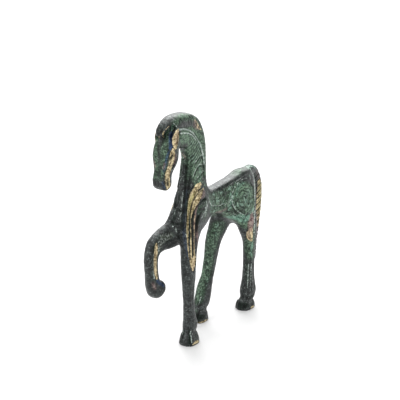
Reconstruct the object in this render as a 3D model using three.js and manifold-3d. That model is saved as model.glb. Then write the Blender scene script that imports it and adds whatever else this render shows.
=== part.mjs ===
// Bronze horse statuette, an archaic souvenir figure cast solid in one piece.
// Millimetres, +Z up. The horse faces -Y, its left side is +X, its three standing hooves rest on z = 0.
// The body is a field: swept strokes of metal flow into each other, grooves are carved into the field,
// and the surface where the field is zero becomes the mesh.
import * as THREE from "three";
import Module from "manifold-3d";
import { mergeVertices } from "three/addons/utils/BufferGeometryUtils.js";

const { clamp, lerp, smoothstep } = THREE.MathUtils;

// Mesh fineness
const cellSize = 0.75;
const triangleBudget = 9600;
const soleTrim = 0.9; // metal below the ground plane that is cut away to leave flat soles
const fieldReach = 8; // how far from its skin a stroke's field is worked out

// Strokes of metal. A row is x, y, z of the centre line, then half the width across and half the depth
// along the horse. Roundness 2 is an ellipse in section and higher values are boxier.
const strokes = {
  neck: {
    roundness: 3,
    rows: [
      [0, -30, 138, 5, 6.5],
      [0, -22, 138.5, 5, 8.8],
      [0, -12.6, 134.5, 4.9, 8.4],
      [0, -7, 123, 4.8, 8.8],
      [0, -7.6, 108, 5.4, 10.2],
      [0, -8.4, 96, 6.8, 11.8],
      [0, -9.4, 86, 7.8, 13],
      [0, -14.5, 77, 7.4, 10.6],
    ],
  },
  barrel: {
    roundness: 3,
    rows: [
      [0, -6, 84.8, 7.4, 11.2],
      [0, 10, 85, 5.9, 8.5],
      [0, 24, 83.1, 6.3, 10.5],
      [0, 34, 80.5, 7.2, 13.4],
      [0, 41, 79.5, 7.8, 15.2],
      [0, 46, 83.4, 7, 12.4],
    ],
  },
  crest: {
    roundness: 2.6,
    rows: [
      [-0.8, -37.7, 140, 2.7, 2.7],
      [-0.7, -36.5, 144, 3.5, 4.2],
      [0, -28.4, 146.8, 5.7, 4.9],
      [0, -17.5, 145.9, 5.7, 4.7],
      [0, -9.3, 142.2, 5.6, 4.4],
      [0, -4.5, 135, 5.3, 4.2],
      [0, -2, 127, 5, 4],
      [0, -0.8, 115, 4.8, 3.6],
      [0, -0.4, 101, 5, 3.2],
      [0, 4.5, 92.5, 4.8, 3],
    ],
  },
  head: {
    roundness: 4,
    rows: [
      [0, -32, 140, 5.2, 5],
      [0, -34.2, 133, 6, 6.6],
      [0, -34.9, 127.5, 6.4, 6.8],
      [0, -37.3, 119.5, 5.2, 4.1],
      [0, -38.6, 114.4, 5, 4.6],
      [0, -38.6, 112.4, 4.9, 4.8],
    ],
  },
  leftEar: {
    roundness: 2,
    rows: [
      [5.4, -30.6, 145.4, 1.2, 0.8],
      [6, -32.8, 141.8, 1.6, 2.3],
      [6.2, -33.8, 138.4, 1.6, 3],
      [6.2, -34.2, 134.2, 1.2, 1.4],
    ],
  },
  tail: {
    roundness: 2.4,
    rows: [
      [0, 50, 88, 5, 6.5],
      [0, 56.5, 91.5, 3.4, 4.4],
      [0, 62.8, 86.5, 2.6, 5],
      [0, 66, 76, 2.4, 5.6],
      [0, 66, 64, 2.4, 5],
      [0, 64.8, 52, 2.2, 4.2],
      [0, 63.6, 41, 1.9, 3],
      [0, 63.8, 32, 1.5, 2],
      [0, 64.2, 27.5, 1, 1.2],
    ],
  },
  leftFore: {
    roundness: 2.6,
    rows: [
      [4.6, -11, 88, 4.4, 9.5],
      [6.2, -18.2, 76, 4.6, 7.1],
      [6.5, -20.6, 62, 4.5, 5.3],
      [6.5, -20.9, 45, 3.8, 4.6],
      [6.5, -20.8, 30, 3, 3.7],
      [6.5, -20, 18, 3.4, 4.2],
      [6.5, -19.4, 13, 3.9, 5.2],
      [6.4, -19.9, 9.2, 3.7, 4.7],
      [6.2, -20.2, 6.4, 3.8, 4.7],
      [6.4, -20.3, 3.8, 5, 6],
      [6.5, -20.2, 0.5, 5.6, 6.6],
      [6.5, -20.2, -3, 5.6, 6.6],
    ],
  },
  rightFore: {
    roundness: 2.4,
    rows: [
      [-4, -12, 80, 4.6, 9],
      [-5, -22, 73, 4.8, 9],
      [-6, -32, 71.4, 4.6, 7.2],
      [-6, -39.3, 69.2, 4.4, 6],
      [-6, -42.7, 63, 4, 4.8],
      [-6, -42.6, 55, 3.8, 4.4],
      [-6, -41.8, 47, 4, 4.8],
      [-6, -39, 41.2, 5, 5.8],
      [-6, -37.2, 40.8, 5, 5.6],
    ],
  },
  leftHind: {
    roundness: 2.6,
    rows: [
      [3.6, 43, 76, 4.4, 11],
      [5.8, 46.4, 60, 4.6, 8],
      [6.5, 48.2, 48, 4, 5],
      [6.5, 48, 38, 3.5, 4.2],
      [6.5, 47.7, 24, 3.4, 4.2],
      [6.5, 47.4, 14.5, 4.2, 5.4],
      [6.5, 47.4, 11.5, 4.5, 6],
      [6.5, 46.8, 9, 4.2, 5.6],
      [6.5, 45.6, 6.8, 3.6, 4.7],
      [6.5, 44.9, 5, 3.7, 4.8],
      [6.5, 44.3, 2.8, 4.6, 5.7],
      [6.5, 44.1, 1, 5.5, 6.8],
      [6.5, 44.1, -3, 5.8, 7],
    ],
  },
  rightHind: {
    roundness: 2.6,
    rows: [
      [-3.6, 38, 77, 4.4, 11],
      [-6.4, 32, 62, 4.6, 8.4],
      [-7.5, 27, 51, 4, 6.4],
      [-7.5, 23.9, 41, 3.6, 5.3],
      [-7.5, 20.2, 28.5, 3.4, 4.4],
      [-7.5, 17.6, 23, 3.9, 5],
      [-7.5, 15.4, 17, 4.3, 5.5],
      [-7.5, 13.8, 12.6, 4.4, 5.6],
      [-7.5, 12.5, 9.8, 3.8, 4.7],
      [-7.4, 11.2, 6.6, 3.9, 4.8],
      [-7.4, 10.6, 3.6, 4.9, 5.7],
      [-7.4, 10.4, 0.5, 5.4, 6.1],
      [-7.4, 10.4, -3, 5.4, 6.1],
    ],
  },
};

const mirrored = ([x, ...rest]) => [-x, ...rest];
strokes.rightEar = { ...strokes.leftEar, rows: strokes.leftEar.rows.map(mirrored) };

// The fillet that each stroke flows into the rest with. The ears come last, over the forelock hollow.
const fillets = {
  barrel: 7,
  crest: 0.8,
  head: 3,
  tail: 2,
  leftFore: 5,
  rightFore: 5,
  leftHind: 6,
  rightHind: 6,
};
const earFillet = 0.5;

// Carved lines. Points are y, z where the line is pressed in from a flank, and x, z where it is pressed
// in from the front. Width is from side to side of the groove, which runs out to nothing at its ends.
const runOut = 3;
const maneBorder = {
  from: ["left", "right"],
  width: 2.4,
  depth: 0.75,
  points: [
    [-31.6, 147.4],
    [-26.5, 143.4],
    [-19.5, 141.6],
    [-10.7, 135.5],
    [-6.3, 129.8],
    [-3.8, 122.7],
    [-2.6, 115],
    [-2.4, 104],
  ],
};
const shoulderFlute = { width: 3.2, depth: 1.2 };
const leftShoulderFlutes = [
  [[-7, 105.4], [-14.5, 102.5], [-18.4, 97.4], [-21.4, 90.4], [-23.8, 81], [-24.6, 70.5], [-23, 52]],
  [[-7, 100.6], [-14.2, 97.8], [-18.6, 91.6], [-21, 84], [-22, 74], [-21.8, 64], [-20.8, 48]],
  [[-5.6, 94.8], [-12.1, 92], [-15.9, 87], [-18.4, 80], [-19.2, 71], [-19, 61], [-19, 48]],
].map((points) => ({ from: ["left"], ...shoulderFlute, points }));
const rightShoulderFlutes = [
  [[-7, 105.4], [-14.5, 102.5], [-19, 96], [-22.5, 89], [-27.5, 83], [-35.6, 77.8]],
  [[-7, 100.6], [-14.2, 97.4], [-18, 91], [-21.5, 84.5], [-27, 79], [-34.6, 75]],
  [[-5.6, 94.8], [-12.1, 91.4], [-15.5, 85.6], [-19.5, 79.6], [-25.5, 75.4], [-32.6, 72.4]],
].map((points) => ({ from: ["right"], ...shoulderFlute, points }));
const neckSideFlute = {
  from: ["left", "right"],
  width: 2.6,
  depth: 0.8,
  points: [[-13.4, 124], [-14.6, 114], [-16.4, 106], [-19, 98], [-22.6, 88]],
};
const chestFlutes = [
  [[0.8, 119], [1.9, 108], [2.9, 99], [4.4, 89], [5.4, 76]],
  [[-1.8, 117], [-3.2, 106], [-3.6, 95], [-3, 87], [-1.6, 79]],
].map((points) => ({ from: ["front"], behind: -31, width: 3, depth: 1, points }));
const haunchBorder = [[42, 93.6], [33.4, 92.2], [28.8, 88], [27.4, 82], [28.4, 76], [32, 70.4], [39, 64]];
const scroll = { y: 37.4, z: 78.6, outer: 7.2, inner: 1.4, turns: 1.6, steps: 14, start: 0.6 };
const haunchSpiral = Array.from({ length: scroll.steps + 1 }, (_, i) => {
  const share = i / scroll.steps;
  const turn = 2 * Math.PI * (scroll.start + scroll.turns * share);
  const radius = lerp(scroll.outer, scroll.inner, share);
  return [scroll.y + radius * Math.cos(turn), scroll.z - radius * Math.sin(turn)];
});
const haunchScroll = [haunchBorder, haunchSpiral].map((points) => ({
  from: ["left", "right"],
  width: 2.2,
  depth: 0.65,
  points,
}));
const flankArc = {
  from: ["left", "right"],
  width: 2.2,
  depth: 0.6,
  points: [[-4.6, 90.8], [2, 86], [11, 82], [18, 82], [22.4, 85.4], [26.4, 91]],
};
const thighLeaf = {
  from: ["left"],
  width: 2,
  depth: 0.55,
  points: [[47.6, 65.8], [42.6, 62.4], [41, 57.8], [42.4, 52], [45.8, 46.8]],
};
const cheekLine = {
  from: ["left", "right"],
  width: 1.9,
  depth: 0.5,
  points: [[-36.2, 133.2], [-34.6, 128.6], [-34, 125.4], [-36, 122.2], [-38.6, 119.2]],
};
const eyes = {
  from: ["left", "right"],
  width: 2.4,
  depth: 1,
  points: [[-39.4, 127.4], [-35.8, 131]],
};
const mouth = {
  from: ["left", "right"],
  width: 1.9,
  depth: 0.7,
  points: [[-39.4, 117.6], [-39.8, 110.6]],
};
const earGroove = {
  from: ["left", "right"],
  width: 1.8,
  depth: 0.8,
  points: [[-31, 144.4], [-33.6, 139], [-34.4, 134]],
};
const shinGroove = {
  from: ["left"],
  width: 2,
  depth: 0.6,
  points: [[-41, 75], [-43.6, 69], [-44.4, 62], [-44, 55], [-42, 47]],
};

// Two clefts down the front of each standing hoof and two tendon grooves above it.
const standingHooves = [
  { x: 6.5, y: -20.2 },
  { x: 6.5, y: 44.1 },
  { x: -7.4, y: 10.4 },
];
const cleft = { width: 2, depth: 0.7, top: 11, apartAbove: 5.2, apartBelow: 6.6 };
const hoofClefts = standingHooves.flatMap(({ x, y }) =>
  [-0.5, 0.5].map((side) => ({
    from: ["front"],
    behind: y - 9,
    width: cleft.width,
    depth: cleft.depth,
    points: [
      [x + side * cleft.apartAbove, cleft.top],
      [x + side * cleft.apartBelow, -runOut],
    ],
  })),
);
const hindTendons = [
  [[46, 34], [45.6, 22], [45.2, 11]],
  [[49, 33], [49.2, 22], [49.6, 12]],
].map((points) => ({ from: ["left"], width: 1.9, depth: 0.5, points }));

const carvings = [
  maneBorder,
  ...leftShoulderFlutes,
  ...rightShoulderFlutes,
  neckSideFlute,
  ...chestFlutes,
  ...haunchScroll,
  flankArc,
  thighLeaf,
  cheekLine,
  eyes,
  mouth,
  earGroove,
  shinGroove,
  ...hoofClefts,
  ...hindTendons,
];

// Hollow under the forelock: a pocket on each side of the forehead between the forelock and the mane.
// The points are y, z. The hollow ends at the floor height and fades out towards the middle plane.
const pocket = {
  apex: [-32.2, 149.6],
  forelockTip: [-40.2, 142.6],
  maneTip: [-28.9, 144.2],
  floor: 136.5,
  floorFade: 4,
  rimFade: 1.3,
  middleFrom: 0.5,
  middleTo: 2,
  depth: 2,
};

// Slanting locks of the tail, drawn as narrow grooves that rise towards the rear between two heights.
const tailLocks = {
  pitch: 3.6,
  depth: 0.5,
  top: 88,
  topFade: 4,
  bottom: 30,
  bottomFade: 6,
  front: 56,
  frontFade: 2,
};
const lockSharpness = 8;

// Curve through control rows, sampled to short straight steps with the sizes carried along.
const stepsPerRow = 9;

function curveThrough(points) {
  return new THREE.CatmullRomCurve3(points, false, "catmullrom");
}

function samplePath(rows) {
  const centre = curveThrough(rows.map(([x, y, z]) => new THREE.Vector3(x, y, z)));
  const size = curveThrough(rows.map((row) => new THREE.Vector3(row[3], row[4], 0)));
  const count = (rows.length - 1) * stepsPerRow;
  const samples = [];
  for (let i = 0; i <= count; i++) {
    const at = centre.getPoint(i / count);
    const half = size.getPoint(i / count);
    samples.push({ x: at.x, y: at.y, z: at.z, across: half.x, depth: half.y });
  }
  return samples;
}

// A stroke's field: about the distance to its skin in millimetres, negative inside the metal.
const leastSize = 0.05;

function strokeField({ rows, roundness }) {
  const samples = samplePath(rows);
  const low = new THREE.Vector3(Infinity, Infinity, Infinity);
  const high = low.clone().negate();
  for (const s of samples) {
    const spread = new THREE.Vector3(s.across, s.depth, s.depth).addScalar(fieldReach);
    const at = new THREE.Vector3(s.x, s.y, s.z);
    low.min(at.clone().sub(spread));
    high.max(at.clone().add(spread));
  }
  return (x, y, z) => {
    if (x < low.x || x > high.x || y < low.y || y > high.y || z < low.z || z > high.z) {
      return fieldReach;
    }
    let nearest = Infinity;
    let across = 1;
    let depth = 1;
    let centreX = 0;
    for (let i = 0; i + 1 < samples.length; i++) {
      const a = samples[i];
      const b = samples[i + 1];
      const runY = b.y - a.y;
      const runZ = b.z - a.z;
      const along = ((y - a.y) * runY + (z - a.z) * runZ) / (runY * runY + runZ * runZ);
      const t = clamp(along, 0, 1);
      const radius = lerp(a.depth, b.depth, t);
      const share = Math.hypot(y - a.y - t * runY, z - a.z - t * runZ) / radius;
      if (share < nearest) {
        nearest = share;
        depth = radius;
        across = lerp(a.across, b.across, t);
        centreX = lerp(a.x, b.x, t);
      }
    }
    const u = Math.abs(x - centreX) / across;
    const v = nearest;
    const size = Math.max(leastSize, (u ** roundness + v ** roundness) ** (1 / roundness));
    const slope = Math.hypot(
      (u / size) ** (roundness - 1) / across,
      (v / size) ** (roundness - 1) / depth,
    );
    return Math.min((size - 1) / slope, fieldReach);
  };
}

// Union of two fields with a fillet between them.
function blend(a, b, radius) {
  const overlap = Math.max(radius - Math.abs(a - b), 0) / radius;
  return Math.min(a, b) - (overlap * overlap * radius) / 4;
}

const fields = Object.fromEntries(
  Object.entries(strokes).map(([name, stroke]) => [name, strokeField(stroke)]),
);

function metalField(x, y, z) {
  let metal = fields.neck(x, y, z);
  for (const [name, radius] of Object.entries(fillets)) {
    metal = blend(metal, fields[name](x, y, z), radius);
  }
  metal += pocketDepth(x, y, z);
  const ear = x > 0 ? fields.leftEar : fields.rightEar;
  return blend(metal, ear(x, y, z), earFillet);
}

// Where a tool coming from one side first meets the metal.
const toolStep = 0.2;
const toolReach = 60;
const flankStart = 16;

function touch([u, v], from, behind) {
  for (let go = 0; go < toolReach; go += toolStep) {
    let at;
    if (from === "front") at = new THREE.Vector3(u, behind + go, v);
    if (from === "left") at = new THREE.Vector3(flankStart - go, u, v);
    if (from === "right") at = new THREE.Vector3(go - flankStart, u, v);
    if (metalField(at.x, at.y, at.z) < 0) return at;
  }
  return null;
}

// A carving as a line of points on the skin, each with its share of the full depth, and the box that
// the carving reaches.
const carvingStep = 2;

function cutsOf({ from, width, depth, points, behind }) {
  const drawn = new THREE.CatmullRomCurve3(points.map(([u, v]) => new THREE.Vector3(u, v, 0)));
  const length = drawn.getLength();
  const count = Math.max(2, Math.round(length / carvingStep));
  return from.map((side) => {
    const line = [];
    const shares = [];
    for (let i = 0; i <= count; i++) {
      const drawnAt = drawn.getPointAt(i / count);
      const at = touch([drawnAt.x, drawnAt.y], side, behind);
      if (!at) continue;
      line.push(at);
      shares.push(smoothstep((Math.min(i, count - i) * length) / count, 0, runOut));
    }
    const reach = width / 2;
    const box = new THREE.Box3().setFromPoints(line).expandByScalar(reach);
    return { line, shares, reach, depth, box };
  });
}

const cuts = carvings.flatMap(cutsOf);
const segment = new THREE.Line3();
const probe = new THREE.Vector3();
const closest = new THREE.Vector3();

function carvedDepth(x, y, z) {
  probe.set(x, y, z);
  let deepest = 0;
  for (const { line, shares, reach, depth, box } of cuts) {
    if (!box.containsPoint(probe)) continue;
    for (let i = 0; i + 1 < line.length; i++) {
      segment.set(line[i], line[i + 1]);
      const t = segment.closestPointToPointParameter(probe, true);
      const away = segment.at(t, closest).distanceTo(probe) / reach;
      if (away >= 1) continue;
      const share = lerp(shares[i], shares[i + 1], t);
      deepest = Math.max(deepest, depth * share * (1 - away * away) ** 2);
    }
  }
  return deepest;
}

function pocketDepth(x, y, z) {
  const [apexY, apexZ] = pocket.apex;
  const inward = ([tipY, tipZ], turn) => {
    const length = Math.hypot(tipY - apexY, tipZ - apexZ);
    return (turn * ((tipY - apexY) * (z - apexZ) - (tipZ - apexZ) * (y - apexY))) / length;
  };
  const inside = Math.min(inward(pocket.forelockTip, 1), inward(pocket.maneTip, -1));
  return (
    pocket.depth *
    smoothstep(inside, 0, pocket.rimFade) *
    smoothstep(z, pocket.floor, pocket.floor + pocket.floorFade) *
    smoothstep(Math.abs(x), pocket.middleFrom, pocket.middleTo)
  );
}

function lockDepth(y, z) {
  const { top, topFade, bottom, bottomFade, front, frontFade, pitch, depth } = tailLocks;
  if (y < front || z < bottom || z > top) return 0;
  const fade =
    smoothstep(z, bottom, bottom + bottomFade) *
    smoothstep(top - z, 0, topFade) *
    smoothstep(y, front, front + frontFade);
  const across = (z - y) / Math.SQRT2;
  return depth * fade * Math.cos((Math.PI * across) / pitch) ** lockSharpness;
}

// Carving only changes the field in a thin layer about the skin.
const carvedLayer = 3;

function horseField(x, y, z) {
  let metal = metalField(x, y, z);
  if (Math.abs(metal) < carvedLayer) {
    metal += carvedDepth(x, y, z) + lockDepth(y, z);
  }
  return Math.max(metal, -soleTrim - z);
}

// The zero surface of a field as a closed triangle mesh: one vertex in each grid cell that the surface
// crosses, placed at the mean of its edge crossings, and one quad for each grid edge that changes sign.
// A block of nodes counts as far from the skin at this many times its own side.
const farShare = 1.4;

function surfaceOf(field, low, high, cell) {
  const count = high.clone().sub(low).divideScalar(cell).ceil().addScalar(1);
  const [nx, ny, nz] = count.toArray();
  const values = new Float32Array(nx * ny * nz);
  const index = (i, j, k) => i + nx * (j + ny * k);
  const valueAt = (i, j, k) => field(low.x + i * cell, low.y + j * cell, low.z + k * cell);
  const block = 6; // nodes are worked out in blocks, and a block far from the skin is filled at once
  const farFromSkin = block * cell * farShare;
  for (let k0 = 0; k0 < nz; k0 += block) {
    for (let j0 = 0; j0 < ny; j0 += block) {
      for (let i0 = 0; i0 < nx; i0 += block) {
        const middle = valueAt(i0 + block / 2, j0 + block / 2, k0 + block / 2);
        const far = Math.abs(middle) > farFromSkin;
        for (let k = k0; k < Math.min(k0 + block, nz); k++) {
          for (let j = j0; j < Math.min(j0 + block, ny); j++) {
            for (let i = i0; i < Math.min(i0 + block, nx); i++) {
              values[index(i, j, k)] = far ? middle : valueAt(i, j, k);
            }
          }
        }
      }
    }
  }
  const corners = [0, 1, 2, 3, 4, 5, 6, 7].map((c) => [c & 1, (c >> 1) & 1, c >> 2]);
  const cellEdges = [];
  for (let a = 0; a < 8; a++) {
    for (const bit of [1, 2, 4]) {
      if (!(a & bit)) cellEdges.push([a, a | bit]);
    }
  }
  const vertexOf = new Map();
  const positions = [];
  for (let k = 0; k + 1 < nz; k++) {
    for (let j = 0; j + 1 < ny; j++) {
      for (let i = 0; i + 1 < nx; i++) {
        const at = corners.map(([a, b, c]) => values[index(i + a, j + b, k + c)]);
        const inside = at.filter((value) => value < 0).length;
        if (inside === 0 || inside === 8) continue;
        const sum = [0, 0, 0];
        let crossings = 0;
        for (const [a, b] of cellEdges) {
          if (at[a] < 0 === at[b] < 0) continue;
          const t = at[a] / (at[a] - at[b]);
          for (let axis = 0; axis < 3; axis++) {
            sum[axis] += corners[a][axis] + t * (corners[b][axis] - corners[a][axis]);
          }
          crossings++;
        }
        vertexOf.set(index(i, j, k), positions.length / 3);
        positions.push(
          low.x + (i + sum[0] / crossings) * cell,
          low.y + (j + sum[1] / crossings) * cell,
          low.z + (k + sum[2] / crossings) * cell,
        );
      }
    }
  }
  const steps = [1, nx, nx * ny];
  const faces = [];
  for (let k = 1; k + 1 < nz; k++) {
    for (let j = 1; j + 1 < ny; j++) {
      for (let i = 1; i + 1 < nx; i++) {
        const here = index(i, j, k);
        for (let axis = 0; axis < 3; axis++) {
          const startInside = values[here] < 0;
          if (startInside === values[here + steps[axis]] < 0) continue;
          const side = steps[(axis + 1) % 3];
          const up = steps[(axis + 2) % 3];
          const quad = [here - side - up, here - up, here, here - side].map((c) => vertexOf.get(c));
          if (!startInside) quad.reverse();
          faces.push(quad[0], quad[1], quad[2], quad[0], quad[2], quad[3]);
        }
      }
    }
  }
  return { positions: Float64Array.from(positions), faces: Uint32Array.from(faces) };
}

// Moves each vertex along the field's slope until it lies on the zero surface. The vertices of the cut
// soles stay in the ground plane.
function settle(positions, field) {
  const nudge = 0.05;
  const leastSlope = 0.1;
  const furthest = 0.4 * cellSize;
  const soleHeight = 0.01;
  for (let v = 0; v < positions.length; v += 3) {
    const at = new THREE.Vector3().fromArray(positions, v);
    if (Math.abs(at.z) < soleHeight) {
      positions[v + 2] = 0;
      continue;
    }
    const value = field(at.x, at.y, at.z);
    const slope = new THREE.Vector3(
      field(at.x + nudge, at.y, at.z) - value,
      field(at.x, at.y + nudge, at.z) - value,
      field(at.x, at.y, at.z + nudge) - value,
    ).divideScalar(nudge);
    const step = clamp(-value / Math.max(slope.lengthSq(), leastSlope), -furthest, furthest);
    at.addScaledVector(slope, step).toArray(positions, v);
  }
}

// Edge-collapse thinning: each step removes the edge whose merged vertex strays least from the planes
// around it, as long as the surface stays a closed manifold and no face turns over.
function thin(mesh, target) {
  const position = mesh.positions.slice();
  const face = Int32Array.from(mesh.faces);
  const vertexCount = position.length / 3;
  const faceCount = face.length / 3;
  const facesOf = Array.from({ length: vertexCount }, () => new Set());
  for (let f = 0; f < faceCount; f++) {
    for (let c = 0; c < 3; c++) facesOf[face[3 * f + c]].add(f);
  }
  const quadrics = new Float64Array(vertexCount * 10);
  const corner = (v) => new THREE.Vector3().fromArray(position, 3 * v);
  const normalOf = (a, b, c) => b.clone().sub(a).cross(c.clone().sub(a));
  for (let f = 0; f < faceCount; f++) {
    const [a, b, c] = [0, 1, 2].map((i) => corner(face[3 * f + i]));
    const normal = normalOf(a, b, c);
    const area = normal.length() / 2;
    normal.normalize();
    const plane = [normal.x, normal.y, normal.z, -normal.dot(a)];
    for (let i = 0; i < 3; i++) {
      const base = 10 * face[3 * f + i];
      let slot = 0;
      for (let p = 0; p < 4; p++) {
        for (let q = p; q < 4; q++) quadrics[base + slot++] += area * plane[p] * plane[q];
      }
    }
  }
  const shapeWeight = 2e-4; // keeps triangles even where the surface is flat
  const leastArea = 1e-4; // twice the area in mm2 below which a face counts as collapsed
  const mostTurn = 0.35; // cosine of the furthest that a face may turn in one step
  const leastDeterminant = 1e-5;
  const costAt = (u, v, at, length2) => {
    const q = (i) => quadrics[10 * u + i] + quadrics[10 * v + i];
    const { x, y, z } = at;
    const strayed =
      q(0) * x * x + 2 * q(1) * x * y + 2 * q(2) * x * z + 2 * q(3) * x +
      q(4) * y * y + 2 * q(5) * y * z + 2 * q(6) * y +
      q(7) * z * z + 2 * q(8) * z + q(9);
    return Math.max(strayed, 0) + shapeWeight * length2 * length2;
  };
  const bestPoint = (u, v) => {
    const a = corner(u);
    const b = corner(v);
    const length2 = a.distanceToSquared(b);
    const q = (i) => quadrics[10 * u + i] + quadrics[10 * v + i];
    const matrix = new THREE.Matrix3().set(q(0), q(1), q(2), q(1), q(4), q(5), q(2), q(5), q(7));
    const choices = [a, b, a.clone().lerp(b, 0.5)];
    if (Math.abs(matrix.determinant()) > leastDeterminant) {
      const solved = new THREE.Vector3(-q(3), -q(6), -q(8)).applyMatrix3(matrix.invert());
      if (solved.distanceToSquared(choices[2]) < length2) choices.push(solved);
    }
    const rated = choices.map((at) => ({ at, cost: costAt(u, v, at, length2) }));
    return rated.reduce((best, next) => (next.cost < best.cost ? next : best));
  };
  const stamp = new Uint32Array(vertexCount);
  const heap = [];
  const push = (entry) => {
    let i = heap.push(entry) - 1;
    while (i > 0) {
      const parent = (i - 1) >> 1;
      if (heap[parent].cost <= entry.cost) break;
      heap[i] = heap[parent];
      i = parent;
    }
    heap[i] = entry;
  };
  const pop = () => {
    const top = heap[0];
    const last = heap.pop();
    if (heap.length === 0) return top;
    let i = 0;
    for (;;) {
      let child = 2 * i + 1;
      if (child >= heap.length) break;
      if (child + 1 < heap.length && heap[child + 1].cost < heap[child].cost) child++;
      if (heap[child].cost >= last.cost) break;
      heap[i] = heap[child];
      i = child;
    }
    heap[i] = last;
    return top;
  };
  const queue = (u, v) => push({ u, v, ...bestPoint(u, v), seen: stamp[u] + stamp[v] });
  const around = (v) => {
    const ring = new Set();
    for (const f of facesOf[v]) {
      for (let c = 0; c < 3; c++) ring.add(face[3 * f + c]);
    }
    ring.delete(v);
    return ring;
  };
  const turnsOver = (v, other, at) => {
    for (const f of facesOf[v]) {
      const ids = [face[3 * f], face[3 * f + 1], face[3 * f + 2]];
      if (ids.includes(other)) continue;
      const before = normalOf(...ids.map(corner));
      const after = normalOf(...ids.map((id) => (id === v ? at : corner(id))));
      if (after.length() < leastArea || before.normalize().dot(after.normalize()) < mostTurn) return true;
    }
    return false;
  };
  for (let u = 0; u < vertexCount; u++) {
    for (const v of around(u)) {
      if (u < v) queue(u, v);
    }
  }
  let left = faceCount;
  while (left > target && heap.length > 0) {
    const { u, v, at, seen } = pop();
    if (facesOf[u].size === 0 || facesOf[v].size === 0 || seen !== stamp[u] + stamp[v]) continue;
    const ringV = around(v);
    const shared = [...around(u)].filter((id) => ringV.has(id));
    if (shared.length !== 2 || turnsOver(u, v, at) || turnsOver(v, u, at)) continue;
    for (const f of [...facesOf[v]]) {
      const ids = [face[3 * f], face[3 * f + 1], face[3 * f + 2]];
      facesOf[v].delete(f);
      if (ids.includes(u)) {
        for (const id of ids) facesOf[id].delete(f);
        face[3 * f] = -1;
        left--;
      } else {
        face[3 * f + ids.indexOf(v)] = u;
        facesOf[u].add(f);
      }
    }
    at.toArray(position, 3 * u);
    for (let i = 0; i < 10; i++) quadrics[10 * u + i] += quadrics[10 * v + i];
    stamp[u] += 1 + stamp[v];
    for (const id of around(u)) queue(u, id);
  }
  return { positions: position, faces: face.filter((_, i) => face[i - (i % 3)] >= 0) };
}

// Manifold solid of a closed mesh, and back.
const wasm = await Module();
wasm.setup();
const mergeWithin = 1e-4;

function solidOf(geometry) {
  const bare = new THREE.BufferGeometry().setAttribute("position", geometry.getAttribute("position"));
  bare.setIndex(geometry.index);
  const merged = mergeVertices(bare, mergeWithin);
  return new wasm.Manifold(
    new wasm.Mesh({
      numProp: 3,
      vertProperties: merged.attributes.position.array,
      triVerts: new Uint32Array(merged.index.array),
    }),
  );
}

function geometryOf({ positions, faces }) {
  return new THREE.BufferGeometry()
    .setAttribute("position", new THREE.Float32BufferAttribute(positions, 3))
    .setIndex(new THREE.Uint32BufferAttribute(faces, 1));
}

// Cuts away everything below the ground plane, which leaves flat soles.
const groundSide = 300;
const groundDepth = 20;

function standOnGround(mesh) {
  const ground = new THREE.BoxGeometry(groundSide, groundSide, groundDepth);
  ground.translate(0, 0, -groundDepth / 2);
  const cut = solidOf(geometryOf(mesh)).subtract(solidOf(ground)).getMesh();
  return { positions: Float64Array.from(cut.vertProperties), faces: cut.triVerts };
}

// The casting: carved, cut flat under its hooves, thinned and centred over the origin.
const lowCorner = new THREE.Vector3(-15, -55, -3);
const highCorner = new THREE.Vector3(16, 78, 155);

function castHorse() {
  const fine = surfaceOf(horseField, lowCorner, highCorner, cellSize);
  settle(fine.positions, horseField);
  const light = thin(standOnGround(fine), triangleBudget);
  settle(light.positions, horseField);
  const casting = geometryOf(light);
  casting.computeBoundingBox();
  const middle = casting.boundingBox.getCenter(new THREE.Vector3());
  return casting.translate(-middle.x, -middle.y, 0);
}

// Cast bronze under a dark green patina.
const patinatedBronze = new THREE.MeshStandardMaterial({
  color: 0x3a4a3f,
  roughness: 0.5,
  metalness: 0.8,
});

const horse = new THREE.Mesh(castHorse(), patinatedBronze);
horse.name = "horse_casting";

const statuette = new THREE.Group();
statuette.add(horse);

export default statuette;
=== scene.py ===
import bpy
import math
import numpy as np
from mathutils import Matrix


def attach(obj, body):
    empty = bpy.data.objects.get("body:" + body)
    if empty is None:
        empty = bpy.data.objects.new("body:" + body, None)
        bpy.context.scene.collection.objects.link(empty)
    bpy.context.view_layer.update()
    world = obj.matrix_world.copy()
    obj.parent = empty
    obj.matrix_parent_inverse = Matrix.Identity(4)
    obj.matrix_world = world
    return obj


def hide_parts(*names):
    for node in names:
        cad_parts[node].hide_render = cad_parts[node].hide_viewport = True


# A solid bronze horse in the archaic manner, about 15 cm high, with a worn green patina.
# Lines and sizes of the casting are worked out in millimetres, in the drawing frame of the part:
# the horse faces -Y, its left side is +X, its soles are at z = 0.
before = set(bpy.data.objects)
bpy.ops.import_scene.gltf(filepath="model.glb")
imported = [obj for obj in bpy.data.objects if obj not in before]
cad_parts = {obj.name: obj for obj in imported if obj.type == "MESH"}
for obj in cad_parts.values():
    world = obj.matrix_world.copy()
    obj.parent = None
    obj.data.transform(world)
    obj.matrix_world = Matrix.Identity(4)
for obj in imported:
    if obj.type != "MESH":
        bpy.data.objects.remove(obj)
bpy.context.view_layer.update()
print("frame loaded")

mm = 0.001

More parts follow.
